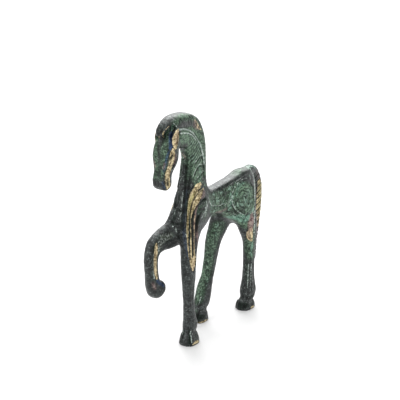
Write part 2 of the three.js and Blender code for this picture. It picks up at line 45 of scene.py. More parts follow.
cameraView = {
    "azimuth": 35.0,  # degrees round from the front towards the horse's left side
    "elevation": 21.0,
    "place": (0.47571, -0.69010, 0.40671),
    "lens": 127.56,  # a long lens, as product photographers use
    "clip": (0.05, 50),  # metres
}
paperSweep = {"side": 14.0, "colour": "cecece", "roughness": 0.6}
studio = {
    "surround": ("ffffff", 0.85),
    "softboxes": {
        # name: place, aim, width, height in metres, power in watts
        "topSoftbox": ((-0.3, 0.3, 4.2), (0, 0, 0.08), 6.0, 6.0, 195.0),
        "rearSoftbox": ((-2.6, 3.6, 2.9), (0, 0, 0.08), 4.4, 2.4, 225.0),
        "frontSoftbox": ((-2.0, -4.0, 2.7), (0, 0, 0.08), 2.0, 2.0, 35.0),
    },
}


def linear(hexColour):  # sRGB hex to the linear values that Blender works in
    parts = [int(hexColour[i:i + 2], 16) / 255 for i in (0, 2, 4)]
    return [c / 12.92 if c <= 0.04045 else ((c + 0.055) / 1.055) ** 2.4 for c in parts] + [1.0]


def addObject(name, data):
    made = bpy.data.objects.new(name, data)
    bpy.context.scene.collection.objects.link(made)
    return made


def addNode(tree, kind, inputs, out=0, **settings):
    node = tree.nodes.new("ShaderNode" + kind)
    for name, value in settings.items():
        setattr(node, name, value)
    for socket, value in inputs.items():
        if isinstance(value, bpy.types.NodeSocket):
            tree.links.new(value, node.inputs[socket])
        else:
            node.inputs[socket].default_value = value
    return node.outputs[out]


camera = addObject("camera", bpy.data.cameras.new("camera"))
camera.data.lens = cameraView["lens"]
camera.data.clip_start, camera.data.clip_end = cameraView["clip"]
camera.location = cameraView["place"]
camera.rotation_euler = (
    math.radians(90 - cameraView["elevation"]), 0, math.radians(cameraView["azimuth"]),
)
bpy.context.scene.camera = camera
bpy.context.scene.view_settings.view_transform = "Standard"

half = paperSweep["side"] / 2
floorMesh = bpy.data.meshes.new("studio_floor")
floorMesh.from_pydata(
    [(-half, -half, 0), (half, -half, 0), (half, half, 0), (-half, half, 0)], [], [(0, 1, 2, 3)])
floor = addObject("studio_floor", floorMesh)

# Seamless background paper, uncoated: matt and white, it takes soft shadows and mirrors next to nothing
paper = bpy.data.materials.new("white_paper_sweep")
paper.use_nodes = True
paperSurface = paper.node_tree.nodes["Principled BSDF"]
paperSurface.inputs["Base Color"].default_value = linear(paperSweep["colour"])
paperSurface.inputs["Roughness"].default_value = paperSweep["roughness"]
floorMesh.materials.append(paper)

world = bpy.data.worlds.new("studio")
world.use_nodes = True
colour, strength = studio["surround"]
surround = world.node_tree.nodes["Background"]
surround.inputs["Color"].default_value = linear(colour)
surround.inputs["Strength"].default_value = strength
bpy.context.scene.world = world

for name, (place, aim, width, height, power) in studio["softboxes"].items():
    lamp = bpy.data.lights.new(name, "AREA")
    lamp.shape, lamp.size, lamp.size_y, lamp.energy = "RECTANGLE", width, height, power
    softbox = addObject(name, lamp)
    softbox.location = place
    toward = np.array(aim) - np.array(place)
    across = math.hypot(toward[0], toward[1])
    softbox.rotation_euler = (math.atan2(across, -toward[2]), 0, math.atan2(-toward[0], toward[1]))
print("camera, floor and light are set")

# Strokes of metal that flow into each other. A row is x, y, z of the centre line, then half the width
# across and half the depth along the horse. Roundness 2 is an ellipse in section, higher is boxier.
casting = {
    "centred": (-0.353039, 12.117899),  # drawing-frame x and y of the part's origin
    "voxel": 0.42,  # mm between the points of the skin
    "quickVoxel": 0.7,
    "triangles": 190000,
    "weld": 0.001,
    "atOnce": 2048,  # points worked out together
    "reach": 8.0,  # mm round a stroke within which its field is worked out
    "curveSteps": 6,  # straight steps from one row of a stroke to the next
    "slopeNudge": 0.05,  # mm over which the field's slope is measured
    "slopeFloor": 0.1,  # keeps a flat spot of the field from throwing a point far
    "settleStep": 1.2,  # the farthest that a point moves in one round of settling
    "strokes": {
        "neck": (3, [
            [0, -30, 138, 5, 6.5], [0, -22, 138.5, 5, 8.8], [0, -12.6, 134.5, 4.9, 8.4],
            [0, -7, 123, 4.8, 8.8], [0, -7.6, 108, 5.4, 10.2], [0, -8.4, 96, 6.8, 11.8],
            [0, -9.4, 86, 7.8, 13], [0, -14.5, 77, 7.4, 10.6],
        ]),
        "barrel": (3, [
            [0, -6, 84.8, 7.4, 11.2], [0, 10, 85, 5.9, 8.5], [0, 24, 83.1, 6.3, 10.5],
            [0, 34, 80.5, 7.2, 13.4], [0, 41, 79.5, 7.8, 15.2], [0, 46, 83.4, 7, 12.4],
        ]),
        "crest": (2.6, [
            [-0.8, -37.7, 140, 2.7, 2.7], [-0.7, -36.5, 144, 3.5, 4.2], [0, -28.4, 146.8, 5.7, 4.9],
            [0, -17.5, 145.9, 5.7, 4.7], [0, -9.3, 142.2, 5.6, 4.4], [0, -4.5, 135, 5.3, 4.2],
            [0, -2, 127, 5, 4], [0, -0.8, 115, 4.8, 3.6], [0, -0.4, 101, 5, 3.2],
            [0, 4.5, 92.5, 4.8, 3],
        ]),
        "head": (4, [
            [0, -32, 140, 5.2, 5], [0, -34.2, 133, 6, 6.6], [0, -34.9, 127.5, 6.4, 6.8],
            [0, -37.3, 119.5, 5.2, 4.1], [0, -38.6, 114.4, 5, 4.6], [0, -38.6, 112.4, 4.9, 4.8],
        ]),
        "leftEar": (2, [
            [5.4, -30.6, 145.4, 1.2, 0.8], [6, -32.8, 141.8, 1.6, 2.3], [6.2, -33.8, 138.4, 1.6, 3],
            [6.2, -34.2, 134.2, 1.2, 1.4],
        ]),
        "tail": (2.4, [
            [0, 50, 88, 5, 6.5], [0, 56.5, 91.5, 3.4, 4.4], [0, 62.8, 86.5, 2.6, 5],
            [0, 66, 76, 2.4, 5.6], [0, 66, 64, 2.4, 5], [0, 64.8, 52, 2.2, 4.2],
            [0, 63.6, 41, 1.9, 3], [0, 63.8, 32, 1.5, 2], [0, 64.2, 27.5, 1, 1.2],
        ]),
        "leftFore": (2.6, [
            [4.6, -11, 88, 4.4, 9.5], [6.2, -18.2, 76, 4.6, 7.1], [6.5, -20.6, 62, 4.5, 5.3],
            [6.5, -20.9, 45, 3.8, 4.6], [6.5, -20.8, 30, 3, 3.7], [6.5, -20, 18, 3.4, 4.2],
            [6.5, -19.4, 13, 3.9, 5.2], [6.4, -19.9, 9.2, 3.7, 4.7], [6.2, -20.2, 6.4, 3.8, 4.7],
            [6.4, -20.3, 3.8, 5, 6], [6.5, -20.2, 0.5, 5.6, 6.6], [6.5, -20.2, -3, 5.6, 6.6],
        ]),
        "rightFore": (2.4, [
            [-4, -12, 80, 4.6, 9], [-5, -22, 73, 4.8, 9], [-6, -32, 71.4, 4.6, 7.2],
            [-6, -39.3, 69.2, 4.4, 6], [-6, -42.7, 63, 4, 4.8], [-6, -42.6, 55, 3.8, 4.4],
            [-6, -41.8, 47, 4, 4.8], [-6, -39, 41.2, 5, 5.8], [-6, -37.2, 40.8, 5, 5.6],
        ]),
        "leftHind": (2.6, [
            [3.6, 43, 76, 4.4, 11], [5.8, 46.4, 60, 4.6, 8], [6.5, 48.2, 48, 4, 5],
            [6.5, 48, 38, 3.5, 4.2], [6.5, 47.7, 24, 3.4, 4.2], [6.5, 47.4, 14.5, 4.2, 5.4],
            [6.5, 47.4, 11.5, 4.5, 6], [6.5, 46.8, 9, 4.2, 5.6], [6.5, 45.6, 6.8, 3.6, 4.7],
            [6.5, 44.9, 5, 3.7, 4.8], [6.5, 44.3, 2.8, 4.6, 5.7], [6.5, 44.1, 1, 5.5, 6.8],
            [6.5, 44.1, -3, 5.8, 7],
        ]),
        "rightHind": (2.6, [
            [-3.6, 38, 77, 4.4, 11], [-6.4, 32, 62, 4.6, 8.4], [-7.5, 27, 51, 4, 6.4],
            [-7.5, 23.9, 41, 3.6, 5.3], [-7.5, 20.2, 28.5, 3.4, 4.4], [-7.5, 17.6, 23, 3.9, 5],
            [-7.5, 15.4, 17, 4.3, 5.5], [-7.5, 13.8, 12.6, 4.4, 5.6], [-7.5, 12.5, 9.8, 3.8, 4.7],
            [-7.4, 11.2, 6.6, 3.9, 4.8], [-7.4, 10.6, 3.6, 4.9, 5.7], [-7.4, 10.4, 0.5, 5.4, 6.1],
            [-7.4, 10.4, -3, 5.4, 6.1],
        ]),
    },
    # the fillet that each stroke flows into the rest with
    "fillets": {
        "barrel": 7, "crest": 0.8, "head": 3, "tail": 2,
        "leftFore": 5, "rightFore": 5, "leftHind": 6, "rightHind": 6,
    },
    "earFillet": 0.5,
}
leftEarRoundness, leftEarRows = casting["strokes"]["leftEar"]
casting["strokes"]["rightEar"] = (leftEarRoundness, [[-row[0], *row[1:]] for row in leftEarRows])

# Hollow on each side of the forehead, between the forelock and the mane. Points are y, z.
hollow = {
    "apex": (-32.2, 149.6), "forelockTip": (-40.2, 142.6), "maneTip": (-28.9, 144.2),
    "floor": 136.5, "floorFade": 4, "rimFade": 1.3, "middleFrom": 0.5, "middleTo": 2, "depth": 2,
}


def smooth(value, low, high):
    share = np.clip((value - low) / (high - low), 0, 1)
    return share * share * (3 - 2 * share)


def curveThrough(rows, steps):  # a smooth curve through the rows, with all their numbers
    rows = np.array(rows, float)
    ends = np.vstack([2 * rows[0] - rows[1], rows, 2 * rows[-1] - rows[-2]])
    share = (np.arange(steps) / steps)[:, None]
    parts = []
    for i in range(len(rows) - 1):
        a, b, c, d = ends[i:i + 4]
        parts.append(0.5 * (
            2 * b + (c - a) * share + (2 * a - 5 * b + 4 * c - d) * share ** 2
            + (3 * b - a - 3 * c + d) * share ** 3
        ))
    return np.vstack([*parts, rows[-1:]])


strokeSamples = {
    name: (roundness, curveThrough(rows, casting["curveSteps"]))
    for name, (roundness, rows) in casting["strokes"].items()
}


def strokeField(name, points, steps=None):
    # About the distance to a stroke's skin in millimetres, negative inside the metal. The straight step
    # of the stroke that each point lies nearest to is kept in steps, for points that hardly move.
    roundness, samples = strokeSamples[name]
    reach = casting["reach"]
    value = np.full(len(points), reach)
    if steps is not None and name in steps:
        near, nearest = steps[name]
    else:
        spread = samples[:, [3, 4, 4]] + reach
        low, high = (samples[:, :3] - spread).min(0), (samples[:, :3] + spread).max(0)
        near = np.flatnonzero(((points > low) & (points < high)).all(1))
        nearest = np.zeros(len(near), int)
        a, run = samples[:-1].T[:, None], np.diff(samples, axis=0).T[:, None]
        for first in range(0, len(near), casting["atOnce"]):
            part = slice(first, first + casting["atOnce"])
            y, z = points[near[part], 1:].T[:, :, None]
            t = ((y - a[1]) * run[1] + (z - a[2]) * run[2]) / (run[1] ** 2 + run[2] ** 2)
            t = np.clip(t, 0, 1)
            away = (y - a[1] - t * run[1]) ** 2 + (z - a[2] - t * run[2]) ** 2
            nearest[part] = np.argmin(away / (a[4] + t * run[4]) ** 2, axis=1)
        if steps is not None:
            steps[name] = near, nearest
    if not len(near):
        return value
    x, y, z = points[near].T
    a, run = samples[nearest].T, (samples[nearest + 1] - samples[nearest]).T
    t = np.clip(((y - a[1]) * run[1] + (z - a[2]) * run[2]) / (run[1] ** 2 + run[2] ** 2), 0, 1)
    centreX, across, deep = a[0] + t * run[0], a[3] + t * run[3], a[4] + t * run[4]
    u = np.abs(x - centreX) / across
    v = np.hypot(y - a[1] - t * run[1], z - a[2] - t * run[2]) / deep
    size = np.maximum(0.05, (u ** roundness + v ** roundness) ** (1 / roundness))  # 1 on the skin
    slope = np.hypot((u / size) ** (roundness - 1) / across, (v / size) ** (roundness - 1) / deep)
    value[near] = np.minimum((size - 1) / slope, reach)
    return value


def blend(a, b, radius):  # both metals as one, with a fillet where they meet
    overlap = np.maximum(radius - np.abs(a - b), 0) / radius
    return np.minimum(a, b) - overlap * overlap * radius / 4


def hollowDepth(points):
    x, y, z = points.T
    apexY, apexZ = hollow["apex"]

    def inward(tip, turn):
        runY, runZ = tip[0] - apexY, tip[1] - apexZ
        return turn * (runY * (z - apexZ) - runZ * (y - apexY)) / math.hypot(runY, runZ)

    inside = np.minimum(inward(hollow["forelockTip"], 1), inward(hollow["maneTip"], -1))
    return (
        hollow["depth"] * smooth(inside, 0, hollow["rimFade"])
        * smooth(z, hollow["floor"], hollow["floor"] + hollow["floorFade"])
        * smooth(np.abs(x), hollow["middleFrom"], hollow["middleTo"])
    )


def metalField(points, steps=None):
    metal = strokeField("neck", points, steps)
    for name, radius in casting["fillets"].items():
        metal = blend(metal, strokeField(name, points, steps), radius)
    metal = metal + hollowDepth(points)
    for ear in ("leftEar", "rightEar"):
        metal = blend(metal, strokeField(ear, points, steps), casting["earFillet"])
    return metal


def standingField(points, steps=None):
    return np.maximum(metalField(points, steps), -points[:, 2])


def valueAndSlope(points):
    steps, nudge = {}, casting["slopeNudge"]
    value = standingField(points, steps)
    slope = [(standingField(points + nudge * axis, steps) - value) / nudge for axis in np.eye(3)]
    return value, np.stack(slope, 1)


def skinNormal(points):
    _, slope = valueAndSlope(points)
    return slope / np.maximum(np.linalg.norm(slope, axis=1), 1e-6)[:, None]


def settle(points, rounds):  # moves points onto the skin
    most = casting["settleStep"]
    for _ in range(rounds):
        value, slope = valueAndSlope(points)
        step = np.clip(-value / np.maximum((slope ** 2).sum(1), casting["slopeFloor"]), -most, most)
        points = points + slope * step[:, None]
        points[:, 2] = np.maximum(points[:, 2], 0)
    return points


def meshPoints(mesh):
    points = np.empty(len(mesh.vertices) * 3)
    mesh.vertices.foreach_get("co", points)
    return points.reshape(-1, 3)


def placePoints(mesh, points):
    mesh.vertices.foreach_set("co", points.ravel())
    mesh.update()


def applyModifiers(thing):
    shown = bpy.data.meshes.new_from_object(thing.evaluated_get(bpy.context.evaluated_depsgraph_get()))
    old = thing.data
    thing.modifiers.clear()
    thing.data = shown
    bpy.data.meshes.remove(old)


# The casting's skin, finely and evenly meshed, in drawing millimetres
centre = np.array([*casting["centred"], 0])
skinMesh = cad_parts["horse_casting"].data.copy()
skinMesh.name = "horse_bronze"
placePoints(skinMesh, meshPoints(skinMesh) / mm + centre)
skinMesh.materials.clear()
horse = addObject("horse_bronze", skinMesh)
weld = horse.modifiers.new("weld", "WELD")
weld.merge_threshold = casting["weld"]
remesh = horse.modifiers.new("remesh", "REMESH")
remesh.mode = "VOXEL"
remesh.voxel_size = casting["voxel"]
applyModifiers(horse)
skin = settle(meshPoints(horse.data), 3)
print("skin settled,", len(skin), "points")

# Lines cut into the casting. Each is where it is drawn from, its width, its depth, and its points, which
# are y, z on a flank, x, z from the front or the back, and x, y from the top.
carving = {
    "runOut": 3.0,  # mm over which a cut rises out of the metal at its ends
    "step": 1.0,
    "lines": {
        "maneBorder": ("left right", 2.4, 0.75, [
            [-31.6, 147.4], [-26.5, 143.4], [-19.5, 141.6], [-10.7, 135.5], [-6.3, 129.8],
            [-3.8, 122.7], [-2.6, 115], [-2.4, 104]]),
        "neckSideFlute": ("left right", 2.6, 0.8, [
            [-13.4, 124], [-14.6, 114], [-16.4, 106], [-19, 98], [-22.6, 88]]),
        "leftFluteFront": ("left", 3.2, 1.2, [
            [-7, 105.4], [-14.5, 102.5], [-18.4, 97.4], [-21.4, 90.4], [-23.8, 81], [-24.6, 70.5],
            [-23, 52]]),
        "leftFluteMiddle": ("left", 3.2, 1.2, [
            [-7, 100.6], [-14.2, 97.8], [-18.6, 91.6], [-21, 84], [-22, 74], [-21.8, 64],
            [-20.8, 48]]),
        "leftFluteRear": ("left", 3.2, 1.2, [
            [-5.6, 94.8], [-12.1, 92], [-15.9, 87], [-18.4, 80], [-19.2, 71], [-19, 61], [-19, 48]]),
        "rightFluteFront": ("right", 3.2, 1.2, [
            [-7, 105.4], [-14.5, 102.5], [-19, 96], [-22.5, 89], [-27.5, 83], [-35.6, 77.8]]),
        "rightFluteMiddle": ("right", 3.2, 1.2, [
            [-7, 100.6], [-14.2, 97.4], [-18, 91], [-21.5, 84.5], [-27, 79], [-34.6, 75]]),
        "rightFluteRear": ("right", 3.2, 1.2, [
            [-5.6, 94.8], [-12.1, 91.4], [-15.5, 85.6], [-19.5, 79.6], [-25.5, 75.4], [-32.6, 72.4]]),
        "chestFluteLeft": ("front", 3, 1, [[0.8, 119], [1.9, 108], [2.9, 99], [4.4, 89], [5.4, 76]]),
        "chestFluteRight": ("front", 3, 1, [[-1.8, 117], [-3.2, 106], [-3.6, 95], [-3, 87], [-1.6, 79]]),
        "haunchBorder": ("left right", 2.2, 0.65, [
            [42, 93.6], [33.4, 92.2], [28.8, 88], [27.4, 82], [28.4, 76], [32, 70.4], [39, 64]]),
        "flankArc": ("left right", 2.2, 0.6, [
            [-4.6, 90.8], [2, 86], [11, 82], [18, 82], [22.4, 85.4], [26.4, 91]]),
        "thighLeaf": ("left", 2, 0.55, [[47.6, 65.8], [42.6, 62.4], [41, 57.8], [42.4, 52], [45.8, 46.8]]),
        "cheekLine": ("left right", 1.9, 0.5, [
            [-36.2, 133.2], [-34.6, 128.6], [-34, 125.4], [-36, 122.2], [-38.6, 119.2]]),
        "eye": ("left right", 2.4, 1, [[-39.4, 127.4], [-35.8, 131]]),
        "mouth": ("left right", 1.9, 0.7, [[-39.4, 117.6], [-39.8, 110.6]]),
        "earGroove": ("left right", 1.8, 0.8, [[-31, 144.4], [-33.6, 139], [-34.4, 134]]),
        "shinGroove": ("left", 2, 0.6, [[-41, 75], [-43.6, 69], [-44.4, 62], [-44, 55], [-42, 47]]),
        "hindTendonFront": ("left", 1.9, 0.5, [[46, 34], [45.6, 22], [45.2, 11]]),
        "hindTendonRear": ("left", 1.9, 0.5, [[49, 33], [49.2, 22], [49.6, 12]]),
    },
    # where a tool starts from on each side, so that it passes what stands before the line
    "start": {"left": 16, "right": -16, "front": -31, "back": 76, "top": 155},
    # each round it goes in by a share of its distance from the metal, between the least and the most
    "tool": {"rounds": 45, "share": 0.7, "least": -1, "most": 5, "touch": 0.3, "settling": 4},
    "scroll": {
        "y": 37.4, "z": 78.6, "outer": 7.2, "inner": 1.4, "turns": 1.6, "steps": 14, "start": 0.6,
        "width": 2.2, "depth": 0.65,
    },
    "hooves": {"leftFore": (6.5, -20.2), "leftHind": (6.5, 44.1), "rightHind": (-7.4, 10.4)},
    "cleft": {
        "width": 2, "depth": 0.7, "top": 11, "bottom": -3, "apartAbove": 5.2, "apartBelow": 6.6,
        "clear": 9,
    },
}
scroll, cleft = carving["scroll"], carving["cleft"]

share = np.linspace(0, 1, scroll["steps"] + 1)
turn = 2 * np.pi * (scroll["start"] + scroll["turns"] * share)
radius = scroll["outer"] + (scroll["inner"] - scroll["outer"]) * share
carving["lines"]["haunchSpiral"] = ("left right", scroll["width"], scroll["depth"], np.stack([
    scroll["y"] + radius * np.cos(turn), scroll["z"] - radius * np.sin(turn)], 1).tolist())
for name, (x, y) in carving["hooves"].items():
    for side in (-0.5, 0.5):
        carving["lines"][f"{name}Cleft{side}"] = (
            f"front {y - cleft['clear']}", cleft["width"], cleft["depth"], [
                [x + side * cleft["apartAbove"], cleft["top"]],
                [x + side * cleft["apartBelow"], cleft["bottom"]]])

# the axis that a tool goes along, which way, and the two axes that its line is drawn in
axesOf = {
    "left": (0, -1, 1, 2), "right": (0, 1, 1, 2), "front": (1, 1, 0, 2), "back": (1, -1, 0, 2),
    "top": (2, -1, 0, 1),
}


def linesOnSkin(drawings):
    # Each drawing is (key, sides, rows). A tool that comes from a side goes in until it meets the metal,
    # for all points of all drawings at once. Rows drawn "near" the skin are x, y, z and move onto it.
    keys, marks, axes, ways = [], [], [], []
    for key, sides, rows in drawings:
        words = sides.split()
        start = float(words.pop()) if words[-1][-1].isdigit() else None
        rows = np.array(rows, float)
        flat = 3 if words[0].startswith("near") else 2
        length = np.linalg.norm(np.diff(rows[:, :flat], axis=0), axis=1).sum()
        drawn = curveThrough(rows, max(2, round(length / (len(rows) - 1) / carving["step"])))
        for side in words:
            if side in axesOf:
                axis, way, first, second = axesOf[side]
                at = np.zeros((len(drawn), 3))
                at[:, first], at[:, second] = drawn[:, 0], drawn[:, 1]
                at[:, axis] = carving["start"][side] if start is None else start
            else:
                axis, way = 0, 0
                at = drawn[:, :3] * ([-1, 1, 1] if side == "nearMirrored" else [1, 1, 1])
            keys.append((key, side, drawn[:, flat:], len(marks)))
            marks.append(at)
            axes.append(np.full(len(at), axis))
            ways.append(np.full(len(at), way))
    at, axis, way = np.vstack(marks), np.concatenate(axes), np.concatenate(ways)
    every, tool = np.arange(len(at)), carving["tool"]
    for _ in range(tool["rounds"]):
        at[every, axis] += way * np.clip(tool["share"] * metalField(at), tool["least"], tool["most"])
    at[way == 0] = settle(at[way == 0], tool["settling"])
    met = np.abs(metalField(at)) < tool["touch"]
    ends = np.cumsum([0] + [len(part) for part in marks])
    lines = []
    for key, side, extra, i in keys:
        part = slice(ends[i], ends[i + 1])
        if met[part].sum() < 2:
            print("no metal under", key, side)
            continue
        lines.append((key, side, at[part][met[part]], extra[met[part]]))
    return lines


def awayFrom(line, points, reach, halves=None):
    # Distance from a line, less its own half width where it has one, and how far along it the nearest
    # place is, for the points within reach.
    near = np.flatnonzero(((points > line.min(0) - reach) & (points < line.max(0) + reach)).all(1))
    p = points[near]
    away, along = np.full(len(p), np.inf), np.zeros(len(p))
    travelled = 0
    halves = np.zeros(len(line)) if halves is None else halves
    for a, b, halfA, halfB in zip(line[:-1], line[1:], halves[:-1], halves[1:]):
        run = b - a
        size = np.linalg.norm(run)
        if size < 1e-6:
            continue
        t = np.clip((p - a) @ run / size ** 2, 0, 1)
        here = np.linalg.norm(p - a - t[:, None] * run, axis=1) - halfA - t * (halfB - halfA)
        closer = here < away
        away = np.where(closer, here, away)
        along = np.where(closer, travelled + t * size, along)
        travelled += size
    return near, away, along, travelled


def carvedDepth(points, lines):  # how deep the deepest of the lines is cut at each point
    deepest = np.zeros(len(points))
    drawings = [(name, line[0], line[3]) for name, line in lines.items()]
    for name, _, line, _ in linesOnSkin(drawings):
        width, depth = lines[name][1:3]
        near, away, along, length = awayFrom(line, points, width / 2)
        runOut = min(carving["runOut"], length / 3)
        ends = smooth(np.minimum(along, length - along), 0, runOut)
        cut = depth * ends * np.clip(1 - (away / (width / 2)) ** 2, 0, 1) ** 2
        deepest[near] = np.maximum(deepest[near], cut)
    return deepest


# Thinner lines of the graver, in the same terms
fineLines = {
    "maneInner": ("near nearMirrored", 1.2, 0.3, [
        [5.1, -26.7, 142], [4.9, -20, 140.4], [4.8, -14.6, 137.4], [4.8, -11.2, 134.4],
        [4.7, -8, 130.4], [4.7, -6, 125], [4.7, -4.6, 120]]),
    "earMiddle": ("near nearMirrored", 1.1, 0.3, [
        [6.9, -31.8, 143.6], [7.5, -33.4, 140.7], [7.3, -33.8, 136.8]]),
    "flankWave": ("left right", 1.6, 0.4, [
        [-1, 92.4], [3, 89.4], [8, 88], [13, 86.6], [18, 87.6], [23, 91]]),
    "haunchInner": ("left right", 1.5, 0.4, [
        [42, 90.8], [35.4, 89.2], [31.6, 85.6], [30.4, 81], [31.4, 75.8], [34.8, 71.8], [40, 67.6]]),
    "haunchRear": ("left right", 1.5, 0.4, [
        [46, 90], [48.6, 84], [49, 78], [47.6, 72.6], [44.4, 68.8]]),
    "bellyLine": ("left right", 1.5, 0.35, [[20, 75.4], [26, 73.4], [32, 68.8], [38, 64.6]]),
    "seatLine": ("left right", 1.6, 0.45, [[53.6, 92], [53, 86], [51.6, 80], [50.4, 73], [49.4, 66]]),
    "shinFine": ("near", 1.1, 0.3, [
        [-3.6, -45.4, 70], [-3.2, -46.4, 65], [-3.1, -46.6, 60], [-3.2, -46, 54]]),
    "backSeam": ("near nearMirrored", 1.6, 0.4, [
        [3.4, 12, 90.8], [3.6, 24, 91], [4, 35, 92.4], [4, 44, 93], [3.8, 51, 92.8]]),
    "farShankFront": ("near", 1.4, 0.35, [[-5.4, 18.6, 40], [-5.2, 17.2, 33], [-4.6, 14.8, 25]]),
    "farShankRear": ("left", 1.4, 0.35, [[22.6, 42], [20.2, 33], [16.6, 23.4]]),
    "foreShankLine": ("left", 1.2, 0.25, [[-20.6, 44], [-21, 32], [-20.6, 20]]),
    "shoulderSplit": ("near", 1.1, 0.35, [
        [6.9, -6, 99.1], [7.1, -11.2, 98.3], [7.2, -13.9, 97.1], [7.2, -16.4, 95.3],
        [7.5, -18.9, 92.7], [7.6, -20.2, 89.6], [8.1, -21.8, 86.2], [8.7, -22.8, 81.6],
        [9.2, -23.7, 75.4], [9.3, -24.1, 69.4]]),
    "shoulderSplitRear": ("near", 1.1, 0.35, [
        [9.4, -15.4, 92], [9.3, -17.3, 90.5], [9.2, -18.8, 88], [9.2, -19.8, 85.2],
        [9.5, -20.6, 81.5], [10, -21.3, 76.3], [10.2, -21.6, 68.7], [10.2, -21.3, 60.9]]),
    "chestMiddle": ("near", 1.6, 0.4, [
        [-0.7, -19.5, 100.2], [-0.8, -20.6, 95.4], [-1.3, -21.2, 90.4], [-0.9, -22.9, 87],
        [-1, -24.4, 83.4]]),
    "chestPocket": ("near", 1.8, 0.45, [
        [-3.5, -24.7, 82.9], [-2.2, -25.2, 81.3], [-0.3, -25.5, 80.9], [1.6, -25.2, 81.2],
        [3.3, -24.8, 82.2]]),
    "cheekMarkFront": ("near nearMirrored", 1.2, 0.3, [[5.8, -38.9, 123.8], [6, -38.2, 126]]),
    "cheekMarkRear": ("near nearMirrored", 1.2, 0.3, [[5.8, -36.2, 123.6], [5.9, -33.9, 125.4]]),
    "neckMarkTop": ("near nearMirrored", 1.4, 0.3, [
        [4.7, -11.6, 116.7], [4.8, -9.3, 118], [4.8, -6, 119.6], [4.7, -2.5, 119.6]]),
    "neckMarkMiddle": ("near nearMirrored", 1.4, 0.35, [
        [4.9, -13.4, 108.8], [5, -11.2, 111.6], [5, -8.7, 113.9], [5, -5.4, 114.4],
        [4.7, -1.7, 112.3]]),
    "neckMarkLow": ("near nearMirrored", 1.4, 0.3, [
        [5.4, -11, 106.2], [5.4, -7.6, 107.6], [5.2, -4, 109.1], [4.8, -1.8, 108.8]]),
}

# Locks of the tail: slanting ridges with a deep cut after every second one
tailLocks = {
    "pitch": 2.0, "slope": 20, "depth": 0.5, "top": 92, "topFade": 4, "bottom": 29, "bottomFade": 4,
    "front": 57.5, "frontFade": 1.5, "wander": 0.3, "wanderSize": 5,
    "deepSharpness": 6, "fineSharpness": 4, "fineShare": 0.6, "crestEnd": 2.2,
}


def noise(points, size, seed):
    # Smooth noise from -1 to 1 with lumps about size millimetres across. Large odd numbers scatter the
    # values of a cell's corners.
    grid = points / size
    cell = np.floor(grid).astype(np.int64)
    part = grid - cell
    part = part * part * (3 - 2 * part)
    total = np.zeros(len(points))
    for i in (0, 1):
        for j in (0, 1):
            for k in (0, 1):
                x, y, z = (cell + [i, j, k]).T
                h = (x * 73856093) ^ (y * 19349663) ^ (z * 83492791) ^ (seed * 40503)
                h = ((h ^ (h >> 13)) * 1274126177) & 0xFFFFFFFF
                h = ((h ^ (h >> 15)) * 2246822519) & 0xFFFFFFFF
                weight = np.where([i, j, k], part, 1 - part).prod(1)
                total += weight * (((h >> 9) & 0xFFFF) / 32767.5 - 1)
    return total


def lockShares(points):
    # How much of the cut between two locks is at each point, and how much of a lock's crest.
    _, y, z = points.T
    locks = tailLocks
    fade = (
        smooth(z, locks["bottom"], locks["bottom"] + locks["bottomFade"])
        * smooth(locks["top"] - z, 0, locks["topFade"])
        * smooth(y, locks["front"], locks["front"] + locks["frontFade"])
    )
    slope = math.radians(locks["slope"])
    wander = locks["wander"] * noise(points, locks["wanderSize"], 12)
    across = z * math.cos(slope) - y * math.sin(slope) + wander
    deep = np.cos(np.pi * across / locks["pitch"] / 2) ** locks["deepSharpness"]
    fine = locks["fineShare"] * np.cos(np.pi * across / locks["pitch"]) ** locks["fineSharpness"]
    cut = np.maximum(deep, fine)
    return fade * cut, fade * np.clip(1 - locks["crestEnd"] * cut, 0, 1)


def band(points, axis, low, high, fade):
    at = points[:, axis]
    return smooth(at, low - fade, low + fade) * smooth(high - at, -fade, fade)


# Fine work of the graver: hatching on the neck and the mane, winding lines over barrel and haunch.
# "Fade" pairs are the two values between which a thing fades in, in mm or in the noise's own measure.
graving = {
    "sideFade": (0.35, 0.75),  # how far the skin has turned sideways, where work on the flanks starts
    "neck": {
        "pitch": 2.0, "slant": 40, "depth": 0.3, "rise": (117, 141), "ends": 3, "wander": 0.25,
        "wanderSize": 6, "frontFade": (-19, -15), "maneFade": (0.6, 1.6), "strokeFade": (0, 0.8),
        "broken": 3.2, "brokenFade": (-0.4, 0.1), "unbroken": 0.45,
    },
    "mane": {
        "pitch": 2.3, "depth": 0.15, "slant": 12, "wander": 0.6, "wanderSize": 5,
        "poll": (-14, 128),  # y, z that the hatching turns round on the head, and runs straight below
        "perDegree": 0.33, "below": 30, "edgeFade": (0.6, 2.2), "riseFade": (99, 106),
        "frontFade": (-34, -30), "darkening": 0.25,
    },
    "flank": {
        "size": 4.0, "line": 0.17, "depth": 0.42, "from": 1, "to": 53, "ends": 3, "low": 60,
        "high": 93.5, "edges": 2, "smaller": 0.35,
        "rim": 3.4,  # how far from a line's middle its rim ends, in half widths of the line
    },
    "rings": {
        "pitch": 2.1, "depth": 0.4, "reach": 15, "reachFade": 5, "wander": 1.1, "wanderSize": 4.5,
        "sharpness": 3, "broken": 4, "brokenFade": (-0.5, 0),
    },
    "rims": {"broken": 3, "brokenFade": (-0.2, 0.3), "neck": 0.75, "neckFade": (0.1, 0.8)},
    "castSkin": ((5.0, 0.10), (2.2, 0.07), (1.1, 0.05)),  # size and height of the lumps in mm
    "soleFade": 0.6,  # nothing is cut into the flat soles
}


